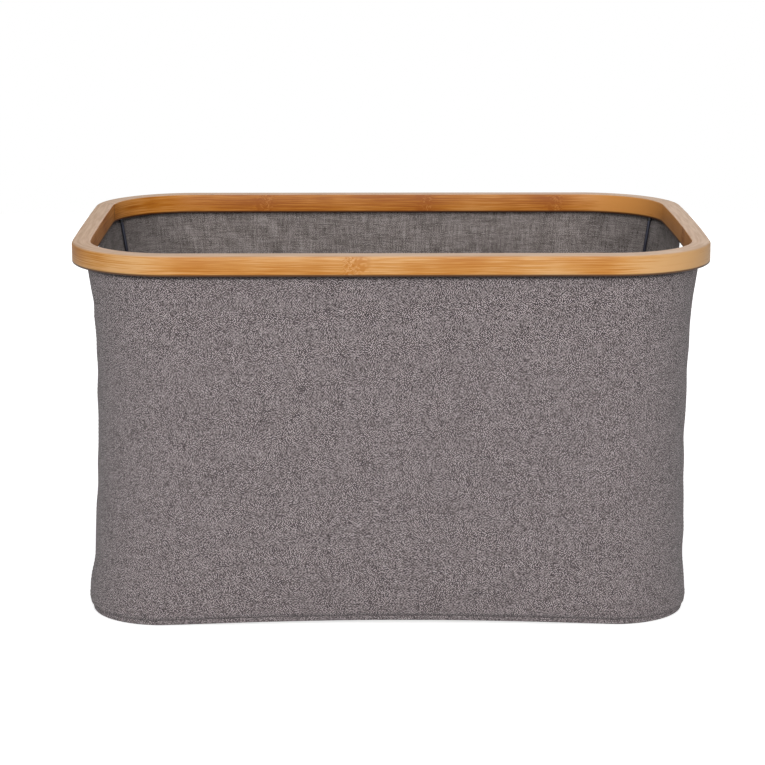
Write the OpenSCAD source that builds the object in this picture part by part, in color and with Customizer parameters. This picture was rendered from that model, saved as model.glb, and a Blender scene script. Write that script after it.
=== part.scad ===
// Rectangular laundry basket: a rim of two bent bamboo bands holds a fabric wall by its hem,
// and two hinged steel frames inside prop the rim above a stiff fabric base.
// Millimetres. X runs along the basket, Y to the back and Z up. The origin is on the floor,
// at the middle of the base.

/* [Overall] */
// Outer length of the rim
rim_length = 560; // [520:2:600]
// Outer depth of the rim
rim_depth = 412; // [390:2:450]
// Height from the floor to the top of the rim
basket_height = 329; // [290:1:360]
// Outer corner radius of the rim, seen from above
rim_corner_r = 92; // [86:1:100]

/* [Bamboo rim] */
// Height of both bamboo bands
rim_height = 18; // [16:0.5:22]
// Thickness of the outer band
outer_band_t = 9.5; // [8:0.5:12]
// Thickness of the inner band
inner_band_t = 7; // [7:0.5:10]
// Rounding of the rim's four long edges
rim_edge_r = 1; // [0.5:0.25:3]
// Height of the groove that holds the hem, from the underside up
groove_h = 12; // [10:0.5:14]
// Thickness of the folded hem
hem_t = 1.1; // [0.8:0.1:1.2]
// Room above the hem in its groove
hem_room = 0.5; // [0.3:0.1:1]

/* [Staples] */
// Width of a staple's crown
staple_w = 10; // [8:0.5:12]
// Thickness of the staple wire across the crown
staple_t = 0.4; // [0.3:0.05:0.45]
// Height of the flattened staple wire
staple_h = 1; // [0.8:0.1:1.4]
// How far the staple's legs go into the outer band
staple_bite = 5; // [3:0.5:7]
// Staples along the front, and along the back
staples_long = 6; // [3:1:9]
// Staples along each end
staples_short = 4; // [2:1:6]

/* [Fabric wall] */
// Thickness of the outer cloth
cloth_t = 0.9; // [0.6:0.1:1.2]
// Thickness of the lining
lining_t = 0.6; // [0.4:0.1:0.8]
// How far the foot of the wall stands in from each end of the rim
foot_in_end = 12; // [8:0.5:20]
// How far the foot of the wall stands in from the rim's front, and from its back
foot_in_side = 11; // [8:0.5:20]
// Corner radius of the wall at its foot
base_corner_r = 70; // [60:1:82]
// How far each end is drawn in at the waist
waist_in_end = 7; // [0:0.5:7.5]
// How far the front and the back are drawn in at the waist
waist_in_side = 4; // [0:0.5:8]
// Height of the waist, as a share of the wall
waist_at = 0.55; // [0.4:0.01:0.65]
// How far the wall turns in at the floor
turn_in = 4; // [2:0.5:6]
// Height over which it turns in
turn_h = 12; // [8:1:20]

/* [Hand openings] */
// Length of each hand opening under the rim
hand_length = 98; // [80:2:130]
// Depth of each hand opening below the rim
hand_depth = 36; // [25:1:50]
// Width of the tape that binds its edge
binding_w = 4; // [3:0.5:6]
// How far the tape stands proud of the wall on each side
binding_proud = 0.5; // [0.3:0.1:0.8]

/* [Base] */
// Thickness of the cloth under the base
bottom_cloth_t = 1.2; // [0.8:0.1:1.6]
// Thickness of the stiffening board
board_t = 3; // [2:0.5:5]
// Thickness of the lining on the board
floor_lining_t = 0.6; // [0.4:0.1:1]
// Width of the bound seam around the base
welt_w = 4; // [3:0.5:5]
// Height of that seam above the floor
welt_lift = 0.3; // [0.2:0.1:0.6]

/* [Support frames] */
// Diameter of the steel rod
rod_d = 3.25; // [3:0.25:3.5]
// Distance of each frame's hinge from the foot of the wall's end
hinge_in = 56; // [42:1:62]
// How far past the start of the rim's corners the legs stand, on average
leg_past_corner = 35; // [15:0.5:38]
// How far the leg of one frame passes inside the other's, when folded
nest_gap = 6; // [5.5:0.1:8]
// Radius of the rod's bends, at its middle line
bend_r = 12; // [8:1:20]
// How far the leg tips go into the rim
tip_in = 5.5; // [4:0.5:7]
// Chamfer on the leg tips
tip_chamfer = 0.6; // [0.3:0.1:1]
// Radial clearance of the tips in the rim and of the bars in their sleeves
rod_clearance = 0.05; // [0.02:0.01:0.1]
// Distance of the tip holes from the rim's inner face, at their middle line
hole_from_inside = 2.4; // [2.3:0.1:2.6]
// Diameter of the stop collars
collar_d = 4.8; // [4.4:0.1:5.6]
// Height of the stop collars
collar_h = 2.5; // [2:0.25:4]
// Length of each hinge sleeve
sleeve_length = 200; // [120:5:220]
// Thickness of the sleeve's loop
sleeve_t = 1.3; // [0.8:0.1:2]
// Width of the sleeve's sewn flange
flange_w = 26; // [18:1:30]
// Thickness of the sleeve's sewn flange
flange_t = 1; // [0.6:0.1:1.5]

/* [Hidden] */
$fn = 96;

left = -1;
right = 1;
// Distance kept between pieces that part when the basket folds
parting_gap = 0.3;
bamboo = [0.81, 0.58, 0.35];
linen = [0.49, 0.46, 0.46];
lining_grey = [0.45, 0.42, 0.40];
steel = [0.75, 0.76, 0.78];

// Heights
rim_bottom = basket_height - rim_height;
wall_top = rim_bottom - parting_gap;
floor_top = bottom_cloth_t + board_t + floor_lining_t;
wall_h = wall_top - floor_top;

// Rim: the inner band's outer face is the line the hem and the wall follow
rim_half = [rim_length / 2, rim_depth / 2];
seam_half = rim_half - [outer_band_t, outer_band_t];
seam_r = rim_corner_r - outer_band_t;
inner_half = seam_half - [inner_band_t, inner_band_t];
inner_r = seam_r - inner_band_t;
crown_clearance = 0.2;
groove_w = hem_t + staple_t + crown_clearance;

// Base plates lie inside the bound seam
base_half = rim_half - [foot_in_end, foot_in_side];
welt_half = base_half - [turn_in, turn_in];
welt_r = base_corner_r - turn_in;
plate_half = welt_half - [welt_w, welt_w];
plate_r = welt_r - welt_w;

// Support frames: the right one is the wider of the two, so the other folds inside its legs
sleeve_r = rod_d / 2 + rod_clearance + sleeve_t;
hinge_out = base_half.x - hinge_in;
hinge_z = floor_top + flange_t + sleeve_r;
corner_middle = inner_half - [inner_r, inner_r];
function leg_y(side) = corner_middle.y + leg_past_corner + side * nest_gap / 2;
// The tip holes lie on the corner arc, a set distance from the inner face
hole_arc_r = inner_r + hole_from_inside;
function tip_x(side) =
    corner_middle.x + sqrt(pow(hole_arc_r, 2) - pow(leg_y(side) - corner_middle.y, 2));
function lean(side) = atan2(tip_x(side) - hinge_out, rim_bottom - hinge_z);
function leg_to_rim(side) = (rim_bottom - hinge_z) / cos(lean(side));

// ---- outlines ----

// A bar's section, x from x0 to x1 and y from 0 to h, with either long side rounded
module bar_section(x0, x1, h, r, round_x0, round_x1) {
    a = x0 + (round_x0 ? r : 0);
    b = x1 - (round_x1 ? r : 0);
    translate([a, 0]) square([b - a, h]);
    translate([x0, r]) square([x1 - x0, h - 2 * r]);
    for (y = [r, h - r]) {
        if (round_x0) translate([a, y]) circle(r);
        if (round_x1) translate([b, y]) circle(r);
    }
}

// Sweeps a section around a rounded rectangle. The section's x is its distance from the
// middle of a corner, and its y is the height.
module sweep_loop(half, r) {
    straight = half - [r, r];
    for (turn = [0 : 3])
        let (swap = turn % 2 == 1,
             along = swap ? straight.y : straight.x,
             across = swap ? straight.x : straight.y)
        rotate([0, 0, 90 * turn]) {
            translate([along, across, 0]) rotate_extrude(angle = 90) children();
            translate([along, across, 0]) rotate([90, 0, 0])
                linear_extrude(2 * across) children();
        }
}

module rounded_plate(half, r, t) {
    linear_extrude(t) {
        square([2 * half.x, 2 * (half.y - r)], center = true);
        square([2 * (half.x - r), 2 * half.y], center = true);
        for (sx = [-1, 1], sy = [-1, 1])
            translate([sx * (half.x - r), sy * (half.y - r)]) circle(r);
    }
}

// ---- fabric wall ----

// Height steps up the wall, as shares of its height there
wall_rows = [0, 0.012, 0.035, 0.12, 0.25, 0.4, 0.55, 0.7, 0.82, 0.92, 1];
corner_steps = 8;
hand_steps = 12;
// The cut edge of the wall runs below the opening by the width of its tape
cut_half = hand_length / 2 + binding_w;
cut_depth = hand_depth + binding_w;

function mix(a, b, share) = a + (b - a) * share;
// The pull of the waist, 0 at the floor and at the rim and 1 at the waist
function waist(u) = u > waist_at
    ? 1 - pow((u - waist_at) / (1 - waist_at), 3.4)
    : 1 - pow((waist_at - u) / waist_at, 1.6);
// The quarter round at the floor, from turn_in down to nothing
function turned(z) =
    let (s = min(1, max(0, (z - floor_top) / turn_h))) turn_in * (1 - sqrt(1 - pow(1 - s, 2)));
// Half length, half depth and corner radius of the wall's outer face at a height
function wall_size(z) =
    let (u = (z - floor_top) / wall_h, t = turned(z), w = waist(u))
    [mix(base_half.x, seam_half.x, u) - waist_in_end * w - t,
     mix(base_half.y, seam_half.y, u) - waist_in_side * w - t,
     mix(base_corner_r, seam_r, u) - t];

// A station is [where, which, place, drop]: the kind of stretch, the side or corner it is
// on, its place along that, and how far the wall's top edge drops there
function end_stations(side) = [
    for (i = [0 : hand_steps]) let (a = side * (-90 + 180 * i / hand_steps))
        ["end", side, cut_half * sin(a), cut_depth * cos(a)]
];
function corner_stations(start) = [
    for (i = [0 : corner_steps]) ["corner", start, start + 90 * i / corner_steps, 0]
];
function long_stations(side) = [
    for (share = [0.5, 0, -0.5]) ["long", side, side * share * (seam_half.x - seam_r), 0]
];
// Counter-clockwise from the right end. Each long panel takes in the corners at its ends.
back_run = concat(corner_stations(0), long_stations(1), corner_stations(90));
front_run = concat(corner_stations(180), long_stations(-1), corner_stations(270));
left_run = concat([["corner", 90, 180, 0]], end_stations(left), [["corner", 180, 180, 0]]);
right_run = concat([["corner", 270, 360, 0]], end_stations(right), [["corner", 0, 0, 0]]);
whole_run = concat(end_stations(right), back_run, end_stations(left), front_run);

// The point at a station and height, a distance in from the wall's outer face
function wall_point(s, z, inward) =
    let (size = wall_size(z), r = size[2])
    s[0] == "end" ? [s[1] * (size.x - inward), s[2], z]
    : s[0] == "long" ? [s[2], s[1] * (size.y - inward), z]
    : let (middle = s[1] + 45)
      [sign(cos(middle)) * (size.x - r) + (r - inward) * cos(s[2]),
       sign(sin(middle)) * (size.y - r) + (r - inward) * sin(s[2]), z];

// A sheet that follows a run of stations, between two distances in from the wall's outer
// face. A closed run joins its last station to its first.
module wall_sheet(run, closed, from_t, to_t) {
    n = len(run);
    m = len(wall_rows);
    steps = closed ? n : n - 1;
    points = [
        for (inward = [from_t, to_t], row = wall_rows, s = run)
            wall_point(s, floor_top + row * (wall_h - s[3]), inward)
    ];
    function at(skin, row, i) = (skin * m + row) * n + i % n;
    function quad(a, b, c, d) = [[a, b, c], [a, c, d]];
    sides = [
        for (i = [0 : steps - 1]) each concat(
            [for (row = [0 : m - 2]) each concat(
                quad(at(0, row, i), at(0, row + 1, i), at(0, row + 1, i + 1), at(0, row, i + 1)),
                quad(at(1, row, i), at(1, row, i + 1), at(1, row + 1, i + 1), at(1, row + 1, i))
            )],
            quad(at(0, m - 1, i), at(1, m - 1, i), at(1, m - 1, i + 1), at(0, m - 1, i + 1)),
            quad(at(0, 0, i), at(0, 0, i + 1), at(1, 0, i + 1), at(1, 0, i))
        )
    ];
    ends = closed ? [] : [
        for (row = [0 : m - 2]) each concat(
            quad(at(0, row, 0), at(1, row, 0), at(1, row + 1, 0), at(0, row + 1, 0)),
            quad(at(0, row, n - 1), at(0, row + 1, n - 1), at(1, row + 1, n - 1), at(1, row, n - 1))
        )
    ];
    polyhedron(points, concat(sides, ends), convexity = 10);
}

module front_cloth() {
    color(linen) wall_sheet(front_run, false, 0, cloth_t);
}

module back_cloth() {
    color(linen) wall_sheet(back_run, false, 0, cloth_t);
}

module left_end_cloth() {
    color(linen) wall_sheet(left_run, false, 0, cloth_t);
}

module right_end_cloth() {
    color(linen) wall_sheet(right_run, false, 0, cloth_t);
}

module side_lining() {
    color(lining_grey) wall_sheet(whole_run, true, cloth_t, cloth_t + lining_t);
}

// The tape around a hand opening fills the band between the wall's cut edge and the
// opening, and stands proud of the wall on both faces
module handle_binding(side) {
    wall_t = cloth_t + lining_t;
    ring = [
        for (i = [0 : hand_steps]) let (a = side * (-90 + 180 * i / hand_steps))
            for (edge = [[cut_half, cut_depth], [hand_length / 2, hand_depth]])
                for (inward = [-binding_proud, wall_t + binding_proud])
                    let (z = wall_top - edge.y * cos(a), size = wall_size(z))
                    [side * (size.x - inward), edge.x * sin(a), z]
    ];
    // Corners of one section, in order around it
    order = [0, 1, 3, 2];
    faces = concat(
        [for (i = [0 : hand_steps - 1], k = [0 : 3])
            let (a = 4 * i + order[k], b = 4 * i + order[(k + 1) % 4])
            each [[a, b, b + 4], [a, b + 4, a + 4]]],
        [[order[3], order[2], order[1], order[0]]],
        [[for (k = [0 : 3]) 4 * hand_steps + order[k]]]
    );
    color(linen) polyhedron(ring, faces, convexity = 6);
}

module left_handle_binding() {
    handle_binding(left);
}

module right_handle_binding() {
    handle_binding(right);
}

// ---- rim ----

module rim_outer_band() {
    color(bamboo) translate([0, 0, rim_bottom]) sweep_loop(rim_half, rim_corner_r)
        bar_section(seam_r, rim_corner_r, rim_height, rim_edge_r, false, true);
}

module rim_inner_band() {
    color(bamboo) difference() {
        translate([0, 0, rim_bottom]) sweep_loop(seam_half, seam_r) difference() {
            bar_section(inner_r, seam_r, rim_height, rim_edge_r, true, false);
            translate([seam_r - groove_w, -1]) square([groove_w + 1, groove_h + 1]);
        }
        for (side = [left, right])
            along_legs(side, leg_to_rim(side) - tip_in)
                cylinder(r = rod_d / 2 + rod_clearance, h = 2 * tip_in + hem_room);
    }
}

module top_hem() {
    color(linen) translate([0, 0, rim_bottom]) sweep_loop(seam_half, seam_r)
        translate([seam_r - hem_t, 0]) square([hem_t, groove_h - hem_room]);
}

// A staple with its crown on the hem's inner face and its legs pointing along +X
module staple() {
    leg_l = hem_t + staple_bite;
    translate([-staple_t, -staple_w / 2, 0]) cube([staple_t, staple_w, staple_h]);
    for (y = [-staple_w / 2, staple_w / 2 - staple_t])
        translate([-staple_t, y, 0]) cube([staple_t + leg_l, staple_t, staple_h]);
}

module hem_staples() {
    straight = seam_half - [seam_r, seam_r];
    z = rim_bottom + (groove_h - hem_room) / 2;
    color(steel) for (turn = [0 : 3])
        let (swap = turn % 2 == 1,
             out = (swap ? seam_half.y : seam_half.x) - hem_t,
             half_run = swap ? straight.x : straight.y,
             count = swap ? staples_long : staples_short)
        for (i = [0 : count - 1])
            rotate([0, 0, 90 * turn])
                translate([out, half_run * (2 * (i + 0.5) / count - 1), z]) staple();
}

// ---- base ----

module bottom_cloth() {
    color(linen) rounded_plate(plate_half, plate_r, bottom_cloth_t);
}

module base_board() {
    color([0.62, 0.52, 0.40]) translate([0, 0, bottom_cloth_t])
        rounded_plate(plate_half, plate_r, board_t);
}

module floor_lining() {
    color(lining_grey) translate([0, 0, bottom_cloth_t + board_t])
        rounded_plate(plate_half, plate_r, floor_lining_t);
}

module bottom_welt() {
    edge_r = welt_w * 0.4;
    low = welt_r - welt_w;
    color(linen) translate([0, 0, welt_lift]) sweep_loop(welt_half, welt_r) {
        translate([low, 0]) square([welt_w - edge_r, floor_top - welt_lift]);
        translate([low, edge_r]) square([welt_w, floor_top - welt_lift - edge_r]);
        translate([welt_r - edge_r, edge_r]) circle(edge_r);
    }
}

// A loop of cloth round the frame's bar, sewn to the floor by its flange
module hinge_sleeve(side) {
    color(lining_grey) translate([side * hinge_out, 0, hinge_z]) rotate([90, 0, 0])
        linear_extrude(sleeve_length, center = true) difference() {
            union() {
                circle(sleeve_r);
                translate([-flange_w / 2, -sleeve_r - flange_t]) square([flange_w, flange_t]);
                polygon([[-1.6 * sleeve_r, -sleeve_r], [1.6 * sleeve_r, -sleeve_r],
                         [0.8 * sleeve_r, -0.6 * sleeve_r], [-0.8 * sleeve_r, -0.6 * sleeve_r]]);
            }
            circle(rod_d / 2 + rod_clearance);
        }
}

module left_hinge_sleeve() {
    hinge_sleeve(left);
}

module right_hinge_sleeve() {
    hinge_sleeve(right);
}

// ---- support frames ----

// Places children on both legs of a frame, with +Z along the leg, a distance up from the hinge
module along_legs(side, distance) {
    translate([side * hinge_out, 0, hinge_z]) rotate([0, side * lean(side), 0])
        for (end = [-1, 1]) translate([0, end * leg_y(side), distance]) children();
}

module support_rod(side) {
    half = leg_y(side);
    leg_end = leg_to_rim(side) + tip_in - tip_chamfer;
    color(steel) {
        translate([side * hinge_out, 0, hinge_z]) rotate([0, side * lean(side), 0]) {
            rotate([90, 0, 0]) cylinder(d = rod_d, h = 2 * (half - bend_r), center = true);
            for (flip = [0, 1]) mirror([0, flip, 0]) translate([0, half - bend_r, bend_r])
                rotate([0, 0, 90]) rotate([-90, 0, 0]) rotate_extrude(angle = 90)
                    translate([bend_r, 0]) circle(d = rod_d);
        }
        along_legs(side, bend_r) cylinder(d = rod_d, h = leg_end - bend_r);
        along_legs(side, leg_end)
            cylinder(d1 = rod_d, d2 = rod_d - 2 * tip_chamfer, h = tip_chamfer);
    }
}

module left_support_rod() {
    support_rod(left);
}

module right_support_rod() {
    support_rod(right);
}

// The collars stop the rim on the legs. Their tilted tops stay just under it.
module rod_collars(side) {
    top = leg_to_rim(side) - (parting_gap + collar_d / 2 * sin(lean(side))) / cos(lean(side));
    color([0.08, 0.08, 0.09]) along_legs(side, top - collar_h) difference() {
        cylinder(d = collar_d, h = collar_h);
        translate([0, 0, -1]) cylinder(d = rod_d, h = collar_h + 2);
    }
}

module left_rod_collars() {
    rod_collars(left);
}

module right_rod_collars() {
    rod_collars(right);
}

rim_outer_band();
rim_inner_band();
top_hem();
hem_staples();
front_cloth();
back_cloth();
left_end_cloth();
right_end_cloth();
side_lining();
left_handle_binding();
right_handle_binding();
bottom_cloth();
base_board();
floor_lining();
bottom_welt();
left_hinge_sleeve();
right_hinge_sleeve();
left_support_rod();
right_support_rod();
left_rod_collars();
right_rod_collars();
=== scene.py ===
"""A fabric laundry basket with a bamboo rim and two folding steel frames.

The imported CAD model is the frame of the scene. Each sub-assembly of the basket is a class
that holds its sizes, builds its pieces and dresses them in a finish. All sizes are metres.
"""

import logging
import math
from collections.abc import Callable, Sequence
from dataclasses import dataclass, field
from enum import Enum
from itertools import pairwise

import bmesh
import bpy
from mathutils import Matrix, Vector


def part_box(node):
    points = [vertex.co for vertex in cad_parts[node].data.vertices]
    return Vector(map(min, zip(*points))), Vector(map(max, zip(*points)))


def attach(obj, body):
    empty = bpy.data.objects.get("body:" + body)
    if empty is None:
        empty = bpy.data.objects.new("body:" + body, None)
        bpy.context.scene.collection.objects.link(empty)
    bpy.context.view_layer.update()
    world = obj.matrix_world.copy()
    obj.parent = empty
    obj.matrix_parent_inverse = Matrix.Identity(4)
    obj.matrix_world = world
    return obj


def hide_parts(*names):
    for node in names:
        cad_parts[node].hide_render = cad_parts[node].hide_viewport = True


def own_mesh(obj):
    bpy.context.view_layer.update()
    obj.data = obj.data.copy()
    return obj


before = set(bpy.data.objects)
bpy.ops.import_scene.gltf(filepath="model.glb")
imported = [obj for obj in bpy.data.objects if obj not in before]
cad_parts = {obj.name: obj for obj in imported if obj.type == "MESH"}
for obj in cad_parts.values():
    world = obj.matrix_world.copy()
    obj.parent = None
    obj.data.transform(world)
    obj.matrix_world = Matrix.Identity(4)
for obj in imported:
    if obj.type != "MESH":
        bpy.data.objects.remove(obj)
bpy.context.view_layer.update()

log = logging.getLogger("basket")

Colour = tuple[float, float, float, float]
Corner = tuple[float, float, float]
UV_MAP = "UVMap"
MERGE = 1e-6
UP = Vector((0, 0, 1))
WHITE: Colour = (1.0, 1.0, 1.0, 1.0)

RIM_UNDERSIDE, RIM_TOP = (corner.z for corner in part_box("rim_outer_band"))
FOOT, WALL_TOP = (corner.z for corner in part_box("side_lining"))
WALL_HEIGHT = WALL_TOP - FOOT


def paint(red: int, green: int, blue: int) -> Colour:
    """Turns a paint's screen values, 0 to 255, into a linear colour.

    Args:
        red: The red value.
        green: The green value.
        blue: The blue value.

    Returns:
        The colour as a shader socket takes it.
    """
    shares = (level / 255 for level in (red, green, blue))
    linear = (s / 12.92 if s <= 0.04045 else ((s + 0.055) / 1.055) ** 2.4 for s in shares)
    return (*linear, 1.0)


def smooth(share: float) -> float:
    """Eases a share from 0 to 1, and holds it there past either end."""
    share = min(1.0, max(0.0, share))
    return share * share * (3 - 2 * share)


def eased(knots: Sequence[tuple[float, float]], place: float) -> float:
    """Reads a value between knots.

    Args:
        knots: Places in order, each with its value.
        place: Where to read.

    Returns:
        The value there, eased from knot to knot.
    """
    for (before, low), (after, high) in pairwise(knots):
        if place < after:
            return low + (high - low) * smooth((place - before) / (after - before))
    return knots[-1][1]


def half_turn(steps: int) -> list[float]:
    """Lists evenly spaced angles from -90 to 90 degrees, in radians."""
    return [-math.pi / 2 + math.pi * i / steps for i in range(steps + 1)]


class Body(Enum):
    """The bodies that new pieces ride on."""

    BASE = "base"
    RIM = "rim"


class End(Enum):
    """The ends of the basket, each by the place where its straight side starts."""

    RIGHT = 0
    LEFT = 4

    @property
    def away(self) -> int:
        """The sign of X on this end."""
        return 1 if self is End.RIGHT else -1


class Slot(Enum):
    """The material slots that pieces name."""

    BAMBOO = "bamboo"
    CLOTH = "linen_cloth"
    LINING = "lining"
    BOARD = "fibreboard"
    ROD = "polished_rod"
    WIRE = "staple_wire"
    PLASTIC = "black_plastic"


class Hold(Enum):
    """How a sheet of cloth is held."""

    STRETCHED = "stretched"
    LAID = "laid"
    FOLDED = "folded"


# ---- shader maths ----


class Signal:
    """A number socket of a material, so that shader maths reads as Python maths."""

    def __init__(self, graph: "Graph", socket: bpy.types.NodeSocket) -> None:
        """Wraps a socket of a graph."""
        self.graph = graph
        self.socket = socket

    def _with(self, operation: str, *others: "Signal | float") -> "Signal":
        """Applies a Math operation to this signal and others."""
        return self.graph.maths(operation, self, *others)

    def __add__(self, other: "Signal | float") -> "Signal":
        """Adds."""
        return self._with("ADD", other)

    def __radd__(self, other: float) -> "Signal":
        """Adds to a number."""
        return self._with("ADD", other)

    def __sub__(self, other: "Signal | float") -> "Signal":
        """Subtracts."""
        return self._with("SUBTRACT", other)

    def __rsub__(self, other: float) -> "Signal":
        """Subtracts from a number."""
        return self.graph.maths("SUBTRACT", other, self)

    def __mul__(self, other: "Signal | float") -> "Signal":
        """Multiplies."""
        return self._with("MULTIPLY", other)

    def __rmul__(self, other: float) -> "Signal":
        """Multiplies a number."""
        return self._with("MULTIPLY", other)

    def __truediv__(self, other: "Signal | float") -> "Signal":
        """Divides."""
        return self._with("DIVIDE", other)

    def __pow__(self, other: "Signal | float") -> "Signal":
        """Raises to a power."""
        return self._with("POWER", other)

    def floor(self) -> "Signal":
        """Rounds down."""
        return self._with("FLOOR")

    def fraction(self) -> "Signal":
        """Keeps what is past the whole number."""
        return self._with("FRACT")

    def size(self) -> "Signal":
        """Drops the sign."""
        return self._with("ABSOLUTE")

    def repeat(self, period: float) -> "Signal":
        """Wraps into a period, from 0 up."""
        return self._with("FLOORED_MODULO", period)

    def step(self, low: float, high: float) -> "Signal":
        """Rises smoothly from 0 at low to 1 at high.

        Args:
            low: The value that gives 0.
            high: The value that gives 1.

        Returns:
            The share, from 0 to 1.
        """
        settings = {"interpolation_type": "SMOOTHSTEP"}
        ends = {"From Min": low, "From Max": high, "To Min": 0.0, "To Max": 1.0}
        made = self.graph.node("ShaderNodeMapRange", settings, {"Value": self, **ends})
        return Signal(self.graph, made.outputs["Result"])


class Graph:
    """The node tree of one material, or of the world."""

    def __init__(self, name: str, of_world: bool = False) -> None:
        """Starts an empty material or world of that name."""
        self.owner = (bpy.data.worlds if of_world else bpy.data.materials).new(name)
        self.owner.use_nodes = True
        self.tree = self.owner.node_tree
        self.tree.nodes.clear()

    def node(
        self, kind: str, settings: dict | None = None, inputs: dict | None = None
    ) -> bpy.types.Node:
        """Adds a node, with its settings made before its sockets are set or linked.

        Args:
            kind: The node's type.
            settings: Its properties, or "stops" for a ramp's places and colours.
            inputs: Its sockets by name or number, as values, signals or sockets.

        Returns:
            The node.
        """
        made = self.tree.nodes.new(kind)
        for key, value in (settings or {}).items():
            if key == "stops":
                self._set_stops(made.color_ramp, value)
            else:
                setattr(made, key, value)
        for key, value in (inputs or {}).items():
            self._feed(made.inputs[key], value)
        return made

    def _set_stops(self, ramp: bpy.types.ColorRamp, stops: Sequence[tuple[float, Colour]]) -> None:
        """Gives a ramp its stops.

        Args:
            ramp: The ramp, with the two stops of a new one.
            stops: Their places, in order, with their colours.
        """
        while len(ramp.elements) < len(stops):
            ramp.elements.new(1.0)
        for element, (place, colour) in zip(ramp.elements, stops):
            element.position = place
            element.color = colour

    def _feed(self, socket: bpy.types.NodeSocket, value: object) -> None:
        """Links a signal or a socket to a socket, or sets a value on it.

        Args:
            socket: The input socket.
            value: The signal, the output socket or the value.
        """
        source = value.socket if isinstance(value, Signal) else value
        if isinstance(source, bpy.types.NodeSocket):
            self.tree.links.new(source, socket)
        else:
            socket.default_value = source

    def maths(self, operation: str, *values: Signal | float) -> Signal:
        """Adds a Math node.

        Args:
            operation: Its operation.
            *values: Its inputs, in order.

        Returns:
            Its result.
        """
        inputs = dict(enumerate(values))
        made = self.node("ShaderNodeMath", {"operation": operation}, inputs)
        return Signal(self, made.outputs[0])

    def mix(self, share: Signal | float, first: object, second: object) -> Signal:
        """Mixes two colours.

        Args:
            share: How much of the second colour shows, from 0 to 1.
            first: The colour or colour signal at 0.
            second: The colour or colour signal at 1.

        Returns:
            The mixed colour.
        """
        made = self.node("ShaderNodeMix", {"data_type": "RGBA"}, {0: share, 6: first, 7: second})
        return Signal(self, made.outputs[2])

    def scaled(self, colour: Signal, by: Signal) -> Signal:
        """Multiplies a colour by a number."""
        made = self.node("ShaderNodeVectorMath", {"operation": "SCALE"}, {0: colour, "Scale": by})
        return Signal(self, made.outputs[0])

    def vector(self, x: object, y: object, z: object = 0.0) -> Signal:
        """Joins three numbers into a vector."""
        made = self.node("ShaderNodeCombineXYZ", inputs={0: x, 1: y, 2: z})
        return Signal(self, made.outputs[0])

    def split(self, vector: bpy.types.NodeSocket) -> tuple[Signal, Signal, Signal]:
        """Parts a vector into its three numbers."""
        made = self.node("ShaderNodeSeparateXYZ", inputs={0: vector})
        x, y, z = (Signal(self, socket) for socket in made.outputs)
        return x, y, z

    def uv(self) -> tuple[Signal, Signal]:
        """Reads the piece's own UV map, in metres."""
        u, v, _ = self.split(self.node("ShaderNodeUVMap", {"uv_map": UV_MAP}).outputs[0])
        return u, v

    def place(self) -> tuple[Signal, Signal, Signal]:
        """Reads Object coordinates."""
        return self.split(self.node("ShaderNodeTexCoord").outputs["Object"])

    def attribute(self, name: str) -> Signal:
        """Reads a number attribute of the mesh."""
        made = self.node("ShaderNodeAttribute", {"attribute_name": name})
        return Signal(self, made.outputs["Fac"])

    def noise(self, vector: Signal, detail: float = 2.0, roughness: float = 0.5) -> Signal:
        """Samples soft noise with cells about one unit across.

        Args:
            vector: Where to sample.
            detail: How many finer layers are added.
            roughness: How strong the finer layers are.

        Returns:
            The noise, from 0 to 1 and mostly near 0.5.
        """
        inputs = {"Vector": vector, "Scale": 1.0, "Detail": detail, "Roughness": roughness}
        return Signal(self, self.node("ShaderNodeTexNoise", inputs=inputs).outputs[0])

    def flecks(self, vector: Signal) -> Signal:
        """Gives an even random number, from 0 to 1, for each vector."""
        made = self.node("ShaderNodeTexWhiteNoise", {"noise_dimensions": "3D"}, {"Vector": vector})
        return Signal(self, made.outputs["Value"])

    def ramp(self, value: Signal, stops: Sequence[tuple[float, Colour]]) -> Signal:
        """Turns a number into a colour by a ramp's stops."""
        made = self.node("ShaderNodeValToRGB", {"stops": stops}, {0: value})
        return Signal(self, made.outputs[0])

    def bump(self, height: Signal, distance: float, strength: float = 1.0) -> Signal:
        """Turns a height into a bumped normal.

        Args:
            height: The height, from 0 to 1.
            distance: What a height of 1 stands for.
            strength: The bump's strength.

        Returns:
            The normal.
        """
        inputs = {"Height": height, "Distance": distance, "Strength": strength}
        return Signal(self, self.node("ShaderNodeBump", inputs=inputs).outputs[0])

    def finish(self, **sockets: object) -> bpy.types.Material:
        """Ends the material in a Principled shader.

        Args:
            **sockets: Socket values and signals, with _ for each space in a name.

        Returns:
            The material.
        """
        inputs = {name.replace("_", " "): value for name, value in sockets.items()}
        shader = self.node("ShaderNodeBsdfPrincipled", inputs=inputs)
        self.node("ShaderNodeOutputMaterial", inputs={"Surface": shader.outputs[0]})
        return self.owner


# ---- finishes ----


@dataclass(frozen=True)
class Knuckle:
    """A node of the bamboo, where the fibres cross in chevrons, with a dark patch beside it.

    Along is its distance from the band's joint, and width is how far it reaches either way.
    """

    along: float
    width: float
    strength: float = 0.75


@dataclass(frozen=True)
class Grain:
    """A layer of soft noise in the bamboo, with its cells per metre along and across.

    Layer keeps it apart from the other noises, and share is its part in the tone.
    """

    along: float
    across: float
    layer: float
    share: float
    roughness: float = 0.5

    def read(self, g: Graph, along: Signal, across: Signal) -> Signal:
        """Samples the noise, from -0.5 to 0.5."""
        spot = g.vector(along * self.along, across * self.across, self.layer)
        return g.noise(spot, 2.0, self.roughness) - 0.5


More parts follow.
